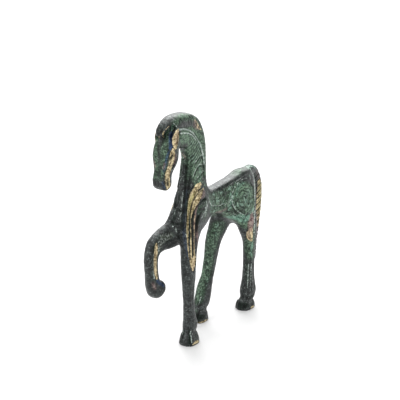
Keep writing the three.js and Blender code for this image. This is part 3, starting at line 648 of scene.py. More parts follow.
def gravedLines(points, normal):
    # How deep the fine lines go, then what the patina follows: the winding lines, the hatching, and
    # the rims that stand between lines.
    x, y, z = points.T
    side = smooth(np.abs(normal[:, 0]), *graving["sideFade"])

    neck = graving["neck"]
    slant = math.radians(neck["slant"])
    wander = neck["wander"] * noise(points, neck["wanderSize"], 3)
    strokes = np.cos(2 * np.pi * (z * math.cos(slant) - y * math.sin(slant) + wander) / neck["pitch"])
    onNeck = side * band(points, 2, *neck["rise"], neck["ends"])
    onNeck = onNeck * smooth(y, *neck["frontFade"]) * smooth(maneEdge(z) - y, *neck["maneFade"])
    whole = smooth(noise(points, neck["broken"], 5), *neck["brokenFade"])
    onNeck = onNeck * (neck["unbroken"] + (1 - neck["unbroken"]) * whole)
    neckLines = smooth(strokes, *neck["strokeFade"]) * onNeck

    mane = graving["mane"]
    pollY, pollZ = mane["poll"]
    roundHead = np.degrees(np.arctan2(z - pollZ, pollY - y)) * mane["perDegree"]
    along = np.where(z > pollZ, roundHead, z - pollZ + mane["below"])
    wander = mane["wander"] * noise(points, mane["wanderSize"], 8)
    wound = along + np.abs(x) * math.tan(math.radians(mane["slant"])) + wander
    rope = np.clip(np.cos(2 * np.pi * wound / mane["pitch"]), 0, 1) ** 2
    onMane = smooth(y - maneEdge(z), *mane["edgeFade"]) * smooth(z, *mane["riseFade"])
    maneLines = rope * (onMane * smooth(y, *mane["frontFade"]))

    flank = graving["flank"]
    line = flank["line"]
    onFlank = (
        side * band(points, 1, flank["from"], flank["to"], flank["ends"])
        * band(points, 2, flank["low"], flank["high"], flank["edges"])
    )
    winding = np.abs(
        noise(points, flank["size"], 21) + flank["smaller"] * noise(points, flank["size"] / 2, 22))
    windingLines = smooth(line - winding, 0, line) * onFlank
    rims = smooth(winding, line, 2 * line) * smooth(flank["rim"] * line - winding, 0, line)

    rings = graving["rings"]
    radius = np.hypot(y - scroll["y"], z - scroll["z"])
    wander = rings["wander"] * noise(points, rings["wanderSize"], 31)
    ring = np.cos(2 * np.pi * (radius + wander) / rings["pitch"])
    nearScroll = smooth(rings["reach"] - radius, 0, rings["reachFade"])
    ringLines = np.clip(ring, 0, 1) ** rings["sharpness"] * nearScroll * onFlank
    ringLines = ringLines * smooth(noise(points, rings["broken"], 32), *rings["brokenFade"])

    rim = graving["rims"]
    rims = np.maximum(rims, np.clip(-ring, 0, 1) ** rings["sharpness"] * nearScroll) * onFlank
    rims = rims * smooth(noise(points, rim["broken"], 33), *rim["brokenFade"])
    rims = np.maximum(rims, rim["neck"] * smooth(-strokes, *rim["neckFade"]) * onNeck)

    depth = neck["depth"] * neckLines + mane["depth"] * maneLines
    depth = depth + np.maximum(flank["depth"] * windingLines, rings["depth"] * ringLines)
    hatching = np.maximum(neckLines, mane["darkening"] * maneLines)
    return depth, np.maximum(windingLines, ringLines), hatching, rims


# z and y of the line where the mane ends on the neck
maneEdgeRows = np.array([
    (96, -2), (104, -2), (114.3, -1.5), (118.4, -2), (122.7, -3.1), (127.1, -4.5), (130.6, -6.8),
    (133.9, -9.5), (137.2, -12.7), (139.5, -15.9), (141.5, -19.9), (142.6, -23.8), (143.3, -27.2),
    (147.4, -31.6),
])


def maneEdge(z):
    return np.interp(z, maneEdgeRows[:, 0], maneEdgeRows[:, 1])


def castSkin(points):
    lumps = enumerate(graving["castSkin"])
    return sum(height * noise(points, size, 50 + i) for i, (size, height) in lumps)


normal = skinNormal(skin)
depth = np.maximum(carvedDepth(skin, carving["lines"]), carvedDepth(skin, fineLines))
depth += tailLocks["depth"] * lockShares(skin)[0]
depth += gravedLines(skin, normal)[0] + castSkin(skin)
depth *= smooth(skin[:, 2], 0, graving["soleFade"])
carved = skin - normal * depth[:, None]
carved[:, 2] = np.maximum(carved[:, 2], 0)
placePoints(horse.data, carved)
print("lines carved")

thin = horse.modifiers.new("thin", "DECIMATE")
thin.ratio = min(1, casting["triangles"] / (2 * len(horse.data.polygons)))
applyModifiers(horse)


def overLine(name, *halves):  # rows of a fine line, with a half width for each or one for all
    rows = fineLines[name][3]
    halves = halves * len(rows) if len(halves) == 1 else halves
    return [[*row, half] for row, half in zip(rows, halves)]


raisedArmRows = [[-3, -30, 74, 2.6], [-3, -37, 73, 2.6], [-3.2, -43.6, 64, 2], [-3.2, -43.4, 54, 2]]

# Where the patina is worn, thick or tinted. A line is where it is drawn from, its strength, and rows
# whose last number is its half width. "near" rows are x, y, z and the others are as in the carving.
# Strokes named after the rows are the only ones that the line stays on.
wear = {
    "soft": {  # mm over which each kind fades out at its rim
        "rubbed": 0.4, "olive": 1.2, "pink": 0.8, "blue": 0.7, "verdigris": 3.0, "thick": 1.6,
        "mintAndHighlight": 0.4, "groove": 0.5,
    },
    "strokeFade": (-0.6, -0.3),  # mm outside a stroke over which a line that stays on it ends
    "rubbed": {  # bare bronze where hands and polishing have reached the ridges
        "shoulderFront": ("near", 1, [
            [5.4, -7.2, 102.7, 1.3], [5.6, -9.6, 101.7, 2], [5.8, -12.1, 100.3, 2.1],
            [6, -14.5, 98.5, 2.15], [6, -16.6, 96.7, 1.8], [6.4, -19.6, 92.7, 1.21],
            [6.6, -20.4, 90.4, 1.1], [6.9, -21.2, 88.2, 0.95], [7.1, -22.1, 86, 0.84],
            [7.4, -22.8, 83.8, 0.74], [8.2, -24, 79.3, 0.76], [8.7, -24.7, 74.6, 0.58],
            [8.9, -24.7, 69.5, 0.5], [9, -24.3, 66, 0.5], [9.3, -24, 61, 0.5],
            [9.6, -23.2, 56.5, 0.45]]),
        "shoulderMiddle": ("near", 0.85, [
            [6.9, -5, 99.6, 0.6], [7.3, -7.5, 98.7, 1.1], [7.8, -10.4, 97.7, 1.85],
            [8.2, -12.7, 96, 1.75], [8.4, -15.1, 94.2, 1.75], [8.4, -17.3, 92.3, 1.29],
            [8.3, -18.6, 90.2, 1.06], [8.4, -19.8, 88.1, 0.89], [8.5, -20.8, 85.9, 0.8],
            [8.7, -21.4, 83.7, 0.7], [9.4, -22.4, 79.1, 0.73], [9.8, -22.9, 74.2, 0.75],
            [9.9, -23, 69.2, 0.84], [10, -22.8, 64, 0.91], [10, -22.3, 58.6, 0.94],
            [10.1, -21.8, 52.8, 1.28]]),
        "shoulderRear": ("near", 0.95, [
            [9.8, -18.2, 86.9, 0.48], [9.9, -18.7, 83.1, 1.16], [10.2, -19.7, 78.3, 0.87],
            [10.4, -20.1, 73.4, 0.82], [10.4, -20.2, 68.3, 0.93], [10.3, -19.9, 63, 1.11],
            [10.1, -19.5, 57.7, 1.49], [9.9, -19.6, 52.5, 1.33]]),
        "farShoulderFront": ("right", 0.9, [
            [-6, 104, 0.7], [-11, 101.6, 1.1], [-14.6, 99, 1], [-17, 95.6, 0.5]]),
        "farShoulderMiddle": ("right", 0.9, [
            [-5, 98.6, 0.7], [-10, 96.8, 1], [-14, 94, 1], [-17, 89.6, 0.9], [-19, 86, 0.5]]),
        "mane": ("near nearMirrored", 0.66, [
            [5.5, -12.4, 145.6, 0.5], [5.5, -11.8, 144.5, 1], [5.6, -10.3, 142.1, 1.3],
            [5.5, -7.7, 139.5, 1.1], [5.3, -5.4, 137.3, 0.5]]),
        "forelockEdge": ("near", 1, [
            [3.3, -33.9, 148.5, 0.12], [2.8, -36.4, 146.9, 0.2], [2.3, -38.7, 145.3, 0.2],
            [1.9, -39.7, 144, 0.35], [1.8, -40, 143.1, 0.4]]),
        "ear": ("near nearMirrored", 1, [
            [5.6, -29.8, 144.6, 0.8], [6.9, -31.9, 143.6, 1.5], [7.5, -33.8, 140.7, 2.7],
            [7.4, -34.4, 137.6, 2.7], [6.9, -33.8, 134.4, 1.5]], ["leftEar", "rightEar"]),
        "farCheek": ("near", 0.9, [
            [-6, -34.4, 132, 1], [-6.2, -34.4, 128, 1.4], [-5.9, -35.4, 124.4, 1.2],
            [-5.1, -37.4, 120.6, 1], [-4.9, -38, 116, 1], [-4.8, -38, 111, 0.8]]),
        "cheek": ("near", 1, [
            [6, -35.6, 133.2, 1.2], [6, -35.9, 131.6, 2.2], [6, -36.6, 129.6, 2.6],
            [5.9, -36.8, 127.4, 2.8], [5.7, -37.1, 125, 2.7], [5.1, -38.1, 122.5, 2.2],
            [4.6, -38.9, 120.3, 1.9], [4.4, -39.4, 118, 2], [4.5, -39.8, 115.6, 2.2],
            [4.6, -39.5, 112.8, 2.3], [4.4, -38.6, 110.2, 1.9]]),
        "shin": ("near", 1, [
            [-2.8, -41.4, 72.8, 0.5], [-2.4, -42.5, 69.6, 1.2], [-2.2, -43.1, 65.3, 1.3],
            [-2.2, -43.3, 60.8, 1.2], [-2.2, -42.9, 55.5, 1.2], [-2.4, -42, 50.2, 0.9]]),
        "tail": ("left right", 0.9, [
            [65.2, 84.4, 0.5], [66.3, 80.4, 2.4], [67.2, 75, 3.8], [67.2, 68, 4.1], [66.6, 62, 3.7],
            [66.2, 56, 2.9], [65.6, 50, 1.3]]),
        "thigh": ("near", 1, [
            [9.6, 44.4, 57.6, 1.3], [9.6, 43.8, 55, 2.6], [9.7, 43.8, 52.5, 2.6], [9.9, 44.4, 50.4, 1.8],
            [10.1, 45.4, 48.2, 0.6]]),
        "leftForeRim": ("near", 1, [
            [11.4, -23.6, 1, 0.3], [12, -22, 1.6, 0.8], [12.1, -20, 1.6, 1], [11.9, -17.6, 1, 0.6]]),
        "leftHindRim": ("near", 1, [
            [12.2, 42.4, 0.4, 0.3], [12.2, 44.4, 1.1, 0.7], [12, 46.8, 0.8, 0.5]]),
        "rightHindRim": ("near", 1, [
            [-4.6, 5.2, 0.6, 0.4], [-2.6, 7, 0.7, 0.6], [-2.1, 9.5, 0.7, 0.6], [-2.3, 12.5, 0.7, 0.4]]),
        "muzzle": ("near", 0.8, [[4.3, -38.6, 108.6, 0.7], [2.6, -39.8, 107.6, 0.5]]),
        "shoulderTip": ("near", 0.85, [
            [10, -21.6, 58, 0.8], [10, -21, 54, 1.1], [9.9, -20.6, 50.6, 0.5]]),
        "forelockTip": ("near", 1, [
            [1.9, -39.6, 144.5, 0.4], [1.3, -38.8, 142.2, 0.8], [1.3, -38.2, 141.1, 0.7]]),
        "forelockFront": ("near", 0.66, [[-0.5, -41.1, 142, 0.6], [0.2, -40.6, 140.6, 0.6]]),
    },
    "olive": {  # a yellow-green film on the bare bronze
        "shoulderFront": ("near", 0.75, [
            [5.8, -13, 99.5, 0.8], [6, -16.6, 96.7, 1.1], [6.3, -18.7, 94.8, 1], [6.6, -20.6, 90.4, 0.8],
            [7.1, -22.2, 86, 0.6], [8.2, -24.2, 79.3, 0.5], [8.7, -24.8, 74.6, 0.4]]),
        "shoulderMiddle": ("near", 0.5, [
            [8.4, -17.3, 92.3, 0.6], [8.4, -19.8, 88.1, 0.6], [8.7, -21.4, 83.7, 0.5],
            [9.4, -22.4, 79.1, 0.5]]),
        "ear": ("near nearMirrored", 0.6, [
            [7.2, -32.4, 139, 0.4], [7.2, -33.2, 136.4, 0.8], [6.9, -33.6, 134.2, 1]]),
        "cheek": ("near nearMirrored", 0.4, [
            [5.9, -35.2, 127, 0.6], [5.2, -36.8, 122, 0.6], [4.8, -37.6, 116, 0.6],
            [4.8, -37.6, 112, 0.6]]),
        "tail": ("left right", 0.6, [
            [66.8, 84, 2], [67.6, 76, 3], [67.6, 68, 3], [67.2, 60, 2.6], [66.4, 52, 1.4]]),
        "forelockEdge": ("near", 0.6, [[3.3, -33.9, 148.5, 0.4], [1.9, -39.7, 144, 0.4]]),
        "farHindShank": ("near", 0.8, [[-5.8, 19, 42, 1.4], [-5.2, 17, 32, 1.6], [-4.4, 15, 24, 1]]),
    },
    "pink": {  # copper-red and purple tints of the heated bronze
        "shoulder": ("near", 0.9, [
            [9.6, -14.8, 91.9, 0.5], [9.5, -16.8, 89.9, 0.6], [9.8, -18.2, 86.4, 0.6],
            [10.1, -18.9, 84.2, 0.6], [10.3, -20, 81.5, 0.5], [10.6, -20, 78.5, 0.5]]),
        "thigh": ("near", 1, [
            [9.6, 46.2, 67.4, 0.9], [9.8, 44.9, 63, 2.7], [9.8, 44.2, 58.8, 2.6],
            [9.7, 44.2, 56.4, 1.3]]),
        "shinBall": ("near", 0.5, [[-2.9, -45.2, 47.6, 1], [-2.3, -44, 44, 1]]),
        "neckUnderJaw": ("near", 0.6, [[-1.5, -16.2, 124, 0.7], [0.8, -16.6, 121.4, 0.6]]),
        "tail": ("left right", 0.5, [[64, 87, 0.8], [66.6, 83, 1.2]]),
        "tailLow": ("left right", 0.6, [[64.6, 60, 0.8], [65, 54, 1.1], [65, 47, 1], [64.6, 41, 0.6]]),
        "farHaunch": ("right", 0.8, [[44, 66, 1.2], [42.6, 61, 1.4]]),
        "shoulderEdge": ("near", 0.8, [
            [10.7, -16.8, 80.5, 0.5], [10.7, -17.7, 76.7, 0.6], [10.9, -17.5, 72.6, 0.6],
            [10.6, -16.8, 67.2, 0.5]]),
        "shoulderTip": ("near", 0.5, [[10, -19.6, 62, 0.5], [10, -19.8, 56, 1], [9.9, -20, 51.6, 0.9]]),
        "cheekRear": ("near nearMirrored", 0.8, [
            [6.2, -33.2, 129.6, 0.3], [6.1, -33.4, 126.7, 0.6], [5.8, -34, 123.9, 0.6]]),
        "ear": ("near nearMirrored", 0.45, [
            [6.9, -31.9, 143.6, 0.8], [7.5, -33.6, 140.7, 1.4], [7.4, -34.1, 137.6, 1.4]]),
        "face": ("near nearMirrored", 0.7, [[4, -41.3, 125.7, 0.5], [3.1, -41.3, 122.6, 0.5]]),
        "raisedArm": ("near", 0.08, raisedArmRows),
        "mane": ("near nearMirrored", 0.5, [
            [5.5, -12.6, 144.5, 1.5], [5.6, -11.4, 142.1, 1.8], [5.5, -9, 139.5, 1.4]]),
        "saddleTop": ("left", 0.5, [[-11.3, 95.6, 0.6], [-7.3, 96.4, 1], [-5, 98.2, 0.8]]),
        "thighFront": ("near", 0.7, [[9.6, 42.4, 56, 0.6], [9.7, 42.2, 53, 0.7], [9.9, 43.2, 50, 0.7]]),
        "tailUpper": ("left right", 0.3, [[62.6, 90, 1.2], [64.6, 87, 1.8]]),
        "belly": ("left right", 0.5, [[12, 77.4, 0.8], [18, 76.6, 1.1], [22, 77, 0.8]]),
        "shoulderRear": ("near", 0.75, [
            [10.1, -19, 82, 0.7], [10.4, -20, 74, 0.6], [10.4, -20.2, 69, 0.55], [10.3, -20, 63, 0.4]]),
    },
    "blue": {  # the thin blue-black oxide
        "recess": ("near", 0.95, [
            [3.2, -33.2, 142.6, 0.9], [4, -34.6, 140.2, 1.4], [5.3, -36.4, 137.6, 1.4],
            [5.6, -37.8, 134.9, 1.1]]),
        "face": ("near", 0.75, [
            [5.5, -39.2, 133, 0.5], [5, -40.6, 129.6, 0.55], [4.6, -41.1, 126.2, 0.5],
            [3.8, -41.2, 123.2, 0.45], [2.9, -41.3, 120.6, 0.35]]),
        "farFace": ("near", 0.6, [[-6, -37, 134, 0.6], [-6, -37.6, 129, 0.6], [-5.2, -38.8, 123.6, 0.5]]),
        "shoulder": ("near", 0.26, [
            [3.5, -18.1, 101.6, 0.5], [3.8, -19.6, 95.6, 0.6], [4.3, -21.4, 90.2, 0.7],
            [4.7, -23, 85.3, 0.8], [5.4, -24.5, 80.8, 0.8], [6.6, -25.8, 76.5, 0.9],
            [7.6, -25.8, 70.6, 0.9], [8.7, -25.5, 65.1, 0.8], [9.7, -24.1, 58.7, 0.5]]),
        "farShoulder": ("near", 0.5, [
            [-4.6, -16.4, 97, 0.5], [-5.6, -18.6, 90, 0.7], [-6.4, -22, 83, 0.6]]),
        "hoofBall": ("near", 0.75, [
            [-2.1, -41.9, 48.1, 0.9], [-2.1, -38.4, 45.6, 1.4], [-1.5, -36.1, 43, 0.9]]),
        "muzzle": ("near", 0.4, [[3, -42, 114, 0.6], [3.6, -41.6, 110.6, 0.6]]),
    },
    "verdigris": {  # the matt green carbonate, thickest on neck, barrel and haunch
        "neckSide": ("left right", 1, [
            [-24, 138, 5], [-14, 136, 6], [-10, 127, 8], [-9, 115, 7.5], [-9, 105, 4]]),
        "throat": ("near nearMirrored", 0.5, [[3, -16.8, 126, 3], [3, -15.6, 118, 3], [3, -17, 108, 2]]),
        "jaw": ("left right", 0.35, [[-30, 134, 3], [-29.6, 128, 2.6], [-32, 123, 2]]),
        "mane": ("near nearMirrored", 0.74, [
            [3, -31, 147.6, 2], [3, -24, 149, 3.2], [4, -14, 147, 3.4], [4.6, -8, 142, 3.2],
            [4.8, -3, 133, 3], [4.6, -1, 122, 3], [4.6, 0, 108, 3]]),
        "face": ("near nearMirrored", 0.74, [
            [3, -37.6, 138, 2], [3, -41, 131, 3], [2.6, -41, 124, 2.6], [2, -42, 117, 2]]),
        "barrel": ("left right", 0.8, [[0, 93, 3], [6, 86, 7], [16, 84, 8], [26, 83, 9]]),
        "haunch": ("left right", 1, [[34, 82, 10], [42, 78, 10], [44, 70, 6]]),
        "belly": ("left right", 1, [[22, 74, 3], [30, 69, 4], [38, 65, 5], [43, 60, 3]]),
        "croup": ("top", 0.5, [[0, 40, 4], [0, 52, 4]]),
        "farHindLeg": ("near", 0.74, [
            [-6.4, 30, 62, 6], [-7.5, 26, 50, 6], [-7.5, 20, 30, 5], [-7.4, 13, 14, 4]]),
        "nearHindLeg": ("near", 0.7, [[6.5, 46, 58, 3], [8.5, 46, 46, 5], [8.5, 46.4, 38, 4]]),
        "nearHindShank": ("near", 0.45, [[7.5, 45, 32, 3], [7.5, 45, 22, 3]]),
        "tail": ("back", 0.35, [[0, 88, 3], [0, 60, 2]]),
        "foreleg": ("near", 0.3, [[9.6, -22, 50, 1.6], [9.6, -22, 36, 1.6]]),
        "recess": ("near nearMirrored", 0.95, [
            [3, -32, 147.4, 1.2], [2.8, -31.7, 144.9, 1.5], [2.7, -33.2, 142.9, 1]]),
        "raisedArm": ("near", 0.4, [
            [-4, -28, 74, 3], [-4, -38, 72, 4], [-4, -43, 62, 3], [-4, -43, 50, 3]]),
        "farHoof": ("near", 0.6, [[-7, 5, 8, 2], [-6, 5, 2, 2]]),
        "stripeEdge": ("near", 0.9, [
            [5.2, -16.8, 98.6, 0.2], [5.1, -18.7, 95.6, 0.2], [5.3, -20.1, 92.6, 0.2],
            [5.7, -21.2, 89.5, 0.2]]),
        "saddle": ("near", 0.8, [
            [10, -5, 92, 1.4], [10, -9, 90.6, 1.2], [10.2, -12.5, 90.2, 1.2], [10.2, -14.6, 87.6, 1],
            [10.4, -6, 86, 1.6], [10.4, -9.6, 82, 1.4]]),
        "farRecess": ("nearMirrored", 1, [[3.8, -34.6, 140.2, 1.5], [5.1, -36.4, 137.6, 1.5]]),
        "shoulderTop": ("near", 0.7, [[5.6, -4, 104, 1.4], [5.6, -2, 100, 1.6], [6.4, -2, 96, 1.4]]),
        "recessFront": ("near nearMirrored", 0.9, [
            [2.4, -35, 144.6, 1], [2.4, -36.6, 142.6, 1.2], [3, -37.4, 140, 1]]),
        "farHindOutside": ("right", 0.75, [[33, 62, 5], [25, 48, 5], [20, 30, 4], [14, 15, 3]]),
    },
    "thick": {  # thick powdery verdigris
        "belly": ("left right", 0.95, [
            [27, 69.6, 1.2], [33, 67.4, 2.4], [39, 65.4, 3], [44, 66.4, 2.2], [47, 69, 1]]),
        "flankHollow": ("left right", 0.8, [[25, 76, 1.5], [27, 81, 1.8], [26.4, 86, 1.4]]),
        "shoulderRear": ("left right", 0.7, [[1, 90, 1.2], [3, 86, 1.6], [0, 83, 1]]),
        "haunchTop": ("left right", 0.7, [[40, 90, 1.2], [34, 88.4, 1.4], [31, 84, 1.2]]),
        "tailRoot": ("near nearMirrored", 0.9, [[1.6, 55, 96, 0.8], [2, 58, 95, 1], [2, 61, 92.4, 0.6]]),
        "mane": ("near nearMirrored", 0.5, [
            [3.8, -24.4, 149.9, 0.8], [3.6, -21.9, 149.7, 1.2], [4.9, -21.3, 148.8, 0.8]]),
        "neckLow": ("left right", 0.6, [[-7, 114, 1.2], [-6, 110, 1.4], [-6.4, 105, 1]]),
        "farThigh": ("near", 0.45, [[-5, 26, 62, 1.5], [-5, 24, 54, 1.2]]),
        "nearThigh": ("near", 0.8, [[9.4, 46.4, 46, 1], [9.4, 46, 41, 1.1], [9, 46.4, 37, 0.7]]),
        "farHindShank": ("near", 0.75, [
            [-5.9, 18.5, 40, 0.4], [-5.6, 17.6, 34.4, 0.7], [-5.1, 16.4, 28.8, 0.7],
            [-4.2, 14.5, 23.6, 0.4]]),
        "recess": ("near nearMirrored", 0.7, [
            [3, -32, 147.4, 0.6], [2.8, -31.7, 144.9, 1], [2.7, -33.2, 142.9, 0.6]]),
        "recessFront": ("near nearMirrored", 0.55, [[2.4, -34.6, 145, 0.7], [2.4, -36.4, 142.6, 0.8]]),
    },
    "mintAndHighlight": {  # thin pale lines of verdigris along edges and in tool marks, and painted highlights along ridges and edges
        "maneOuter": ("near nearMirrored", 1, [
            [4.9, -27.2, 143.3, 0.48], [4.4, -23.8, 142.6, 0.46], [4.4, -19.9, 141.5, 0.44],
            [4.4, -15.9, 139.5, 0.42], [4.4, -12.7, 137.2, 0.4], [4.4, -9.5, 133.9, 0.38],
            [4.2, -6.8, 130.6, 0.36], [4.4, -4.5, 127.1, 0.34], [4.6, -3.1, 122.7, 0.32],
            [4.7, -2, 118.4, 0.3], [4.9, -1.5, 114.3, 0.28]]),
        "maneInner": ("near nearMirrored", 0.9, [
            [5.1, -26.7, 140.9, 0.42], [5, -23.9, 140.3, 0.38], [5, -19.9, 139.2, 0.34],
            [4.9, -15.8, 137.4, 0.3], [4.9, -12.6, 134.8, 0.26], [4.8, -10.1, 132.1, 0.22]]),
        "forelockBack": ("near nearMirrored", 1, [
            [3.7, -31.8, 148.6, 0.2], [4.7, -30.6, 146.6, 0.25], [5.6, -29.6, 145.2, 0.2]]),
        "flankArc": ("left right", 0.8, [
            [-1.3, 96.6, 0.15], [-2.6, 93.4, 0.2], [-1.4, 89.6, 0.25], [3.6, 85.6, 0.25],
            [8.7, 83.4, 0.25], [15.2, 81.4, 0.25], [18.1, 81.8, 0.25], [21.1, 80.7, 0.2],
            [24.8, 81.2, 0.2], [27.2, 83.8, 0.2]]),
        "shoulderFall": ("left", 0.7, [
            [-2.9, 90.6, 0.2], [-6.9, 89.2, 0.2], [-9.5, 86.6, 0.2], [-12.1, 84.1, 0.2],
            [-13.6, 79, 0.15]]),
        "haunchArc": ("left right", 0.75, [
            [50.4, 89.6, 0.15], [42.6, 91.6, 0.2], [36, 91.2, 0.25], [31, 88.9, 0.25],
            [28.2, 85.3, 0.25], [28, 80.3, 0.25], [29.8, 75.2, 0.25], [34, 71.1, 0.25],
            [38.5, 68.5, 0.2]]),
        "haunchLow": ("left right", 0.6, [
            [22, 73.6, 0.2], [27.4, 72.4, 0.25], [34, 68.8, 0.25], [39.4, 66, 0.25], [44.9, 66.2, 0.2]]),
        # painted highlight: the edge of the haunch where it meets the tail, drawn light
        "tailSeam": ("near nearMirrored", 1, [
            [2.2, 52.6, 95, 0.4], [3.2, 53.6, 94.2, 0.4], [4.4, 54.2, 91, 0.4], [5.6, 53.6, 86, 0.4],
            [7.6, 52.2, 82, 0.4], [8.6, 51.2, 77, 0.4], [9.3, 50, 71, 0.4], [9.8, 49, 64, 0.4],
            [10.4, 48, 57, 0.34], [10.4, 47.6, 51, 0.24]]),
        # painted highlights on the ridges of the chest flutes
        "chest": ("near", 0.5, [
            [1.3, -19, 101.9, 0.25], [1.5, -19.8, 98.7, 0.4], [1.6, -20.7, 95.5, 0.5],
            [1.7, -21.6, 92.3, 0.5], [1.9, -22.7, 88.6, 0.45], [1.9, -23.6, 85.8, 0.35],
            [1.1, -24.5, 82.9, 0.25]]),
        "neckFront": ("near", 0.42, [
            [0.6, -16.6, 116, 0.15], [0.8, -17.4, 109, 0.25], [1, -18.4, 104, 0.2]]),
        "farHindFetlock": ("near", 0.8, [
            [-5.3, 10.2, 17.6, 0.2], [-5.6, 9.1, 14.8, 0.3], [-6, 8.3, 12.5, 0.2]]),
        "farHindShank": ("near", 0.4, [
            [-5.9, 18.5, 40, 0.3], [-5.6, 17.6, 34.4, 0.3], [-5.1, 16.4, 28.8, 0.3],
            [-4.2, 14.5, 23.6, 0.3]]),
        "tendonFront": ("near", 0.7, [[8.8, 44.4, 32, 0.3], [8.7, 44, 23.5, 0.3], [9, 42.8, 14.7, 0.3]]),
        "tendonRear": ("near", 0.7, [
            [9.6, 46.4, 31, 0.28], [9.5, 46, 21.8, 0.28], [10.2, 44.6, 12.6, 0.28]]),
        "hindPastern": ("near", 0.5, [
            [8.4, 41.6, 11.4, 0.2], [9.6, 42.2, 9.4, 0.3], [10.6, 43.6, 7.4, 0.2]]),
        # painted highlights down the front of the fore hoof
        "foreHoof": ("near", 0.9, [
            [9.6, -22.9, 9.6, 0.3], [10.6, -23.8, 6.1, 0.35], [11.2, -24.2, 2.8, 0.3]]),
        "foreHoofFar": ("near", 0.9, [
            [4, -25.6, 10, 0.34], [3.6, -26.6, 6.4, 0.34], [3.2, -27, 2.8, 0.34]]),
        "neckMarkTop": ("near nearMirrored", 0.6, [
            [4.7, -11.5, 117.7, 0.3], [4.8, -9.3, 119, 0.3], [4.8, -6, 120.6, 0.3],
            [4.7, -2.5, 120.6, 0.3]]),
        "neckMarkMiddle": ("near nearMirrored", 0.65, [
            [4.9, -13.4, 109.8, 0.32], [5, -11.2, 112.6, 0.32], [5, -8.7, 114.9, 0.32],
            [5, -5.4, 115.4, 0.32], [4.7, -1.7, 113.3, 0.32]]),
        "neckMarkLow": ("near nearMirrored", 0.6, [
            [5.4, -11, 107.2, 0.3], [5.4, -7.6, 108.6, 0.3], [5.2, -4, 110.1, 0.3],
            [4.8, -1.8, 109.8, 0.3]]),
        "chestRight": ("near", 0.6, [
            [-2.2, -21.1, 90.2, 0.25], [-3.2, -21.4, 88.5, 0.4], [-3.3, -22.4, 86.3, 0.4],
            [-3.4, -23.6, 84.1, 0.3]]),
        "chestSpeckLeft": ("near", 0.8, [[0.7, -26.1, 78.8, 0.3], [1.4, -26.3, 76.4, 0.3]]),
        "chestSpeckRight": ("near", 0.8, [[-1.5, -26.2, 79.8, 0.3], [-1.2, -26.2, 79.2, 0.3]]),
        "stripeSpecks": ("near", 0.5, [
            [7.8, -25.4, 76.6, 0.35], [8.6, -25.3, 72.2, 0.35], [8.9, -25, 68.1, 0.35],
            [9.3, -24.7, 64.5, 0.3]]),
        "neckFrontRight": ("near", 0.5, [
            [-1.5, -16.6, 125.3, 0.25], [-0.9, -15.7, 122.2, 0.35], [-0.8, -15.9, 118.3, 0.25]]),
        "raisedArm": ("near", 0.36, raisedArmRows),
        "saddle": ("near", 0.7, [
            [10.2, -6.6, 92.4, 0.2], [10.3, -5.6, 88.6, 0.25], [10.4, -9.4, 85.6, 0.25],
            [10.6, -12.4, 82, 0.25], [10.6, -14.4, 77, 0.2]]),
        "croup": ("near nearMirrored", 0.8, [
            [0.6, 53, 96.6, 0.3], [1.8, 54.6, 96.2, 0.35], [2.6, 57, 95, 0.3]]),
        "tailRootTop": ("near nearMirrored", 0.9, [
            [1.2, 52.4, 96.4, 0.4], [2.6, 53.4, 95.4, 0.5], [3.6, 54.2, 93.4, 0.45]]),
        "tailRootCross": ("near nearMirrored", 0.75, [
            [3.4, 51, 95, 0.3], [2.6, 53.4, 95.4, 0.35], [1.8, 56, 96, 0.3]]),
        "seatLine": ("left", 0.45, [[48.4, 82, 0.25], [48.6, 78, 0.3], [47.4, 73.4, 0.25]]),
        # painted light: a pale haze that lightens the saddle where it faces away from the lamps
        "saddlePaintedLight": ("near", 0.36, [
            [10.3, -5.6, 90.4, 1.2], [10.4, -7.6, 87.4, 1.8], [10.4, -8.4, 84, 1.6]]),
        "raisedShin": ("near", 0.46, [
            [-3.2, -43.8, 66, 1.6], [-3.2, -43.6, 60, 2], [-3.2, -43.2, 52, 2]]),
    },
    "groove": {  # dark wax and soot left in the hollows, with painted shade darkening the cuts and the hoof bottoms
        "backEdge": ("near nearMirrored", 0.8, [
            [2.6, 13, 90.6, 0.5], [2.6, 25, 91, 0.7], [3, 36, 92.8, 0.6], [3.2, 44.3, 93.4, 0.5],
            [3.4, 51.6, 93.2, 0.4]]),
        "neckCorner": ("near", 0.85, [
            [2.2, -16.4, 126, 0.5], [1.9, -15.6, 120.1, 0.6], [2.2, -16.1, 114.7, 0.6],
            [2.4, -16.9, 109.4, 0.6], [2.3, -18.2, 102.4, 0.6], [2.7, -19.6, 96.9, 0.6],
            [3.3, -21, 92.4, 0.6], [3.6, -22.6, 87.9, 0.6], [3.9, -23.8, 84.3, 0.6],
            [3.8, -25, 81.1, 0.5], [4, -25.8, 77.9, 0.3]]),
        "chestRight": ("near", 0.9, [
            [-4.5, -17.8, 96.8, 0.5], [-3.9, -19.5, 93.4, 0.6], [-4.1, -21, 89.7, 0.6]]),
        "shoulderSplit": ("near", 1, overLine("shoulderSplit", 0.45)),
        "cheekRear": ("near nearMirrored", 1, [
            [6.1, -32.2, 131.7, 0.4], [6.3, -32.1, 128.3, 0.5], [6.2, -32.8, 125.6, 0.5],
            [5.9, -34, 123.5, 0.4], [5.5, -35.7, 121.4, 0.4]]),
        "shinEdge": ("near", 1, [
            [-3.2, -43.6, 71.6, 0.5], [-2.8, -44.9, 66.3, 0.6], [-2.8, -45.3, 61.3, 0.6],
            [-2.9, -44.8, 55, 0.5]]),
        "maneSpot": ("near nearMirrored", 1, [
            [5.6, -11.6, 144.4, 0.4], [5.6, -11.2, 143.4, 0.6], [5.6, -10.6, 142.2, 0.7],
            [5.6, -10.6, 141, 0.4]]),
        "maneSpotLow": ("near nearMirrored", 1, [[5.5, -8.2, 140.2, 0.5], [5.5, -7.6, 139.2, 0.5]]),
        "tailRoot": ("near nearMirrored", 1, [
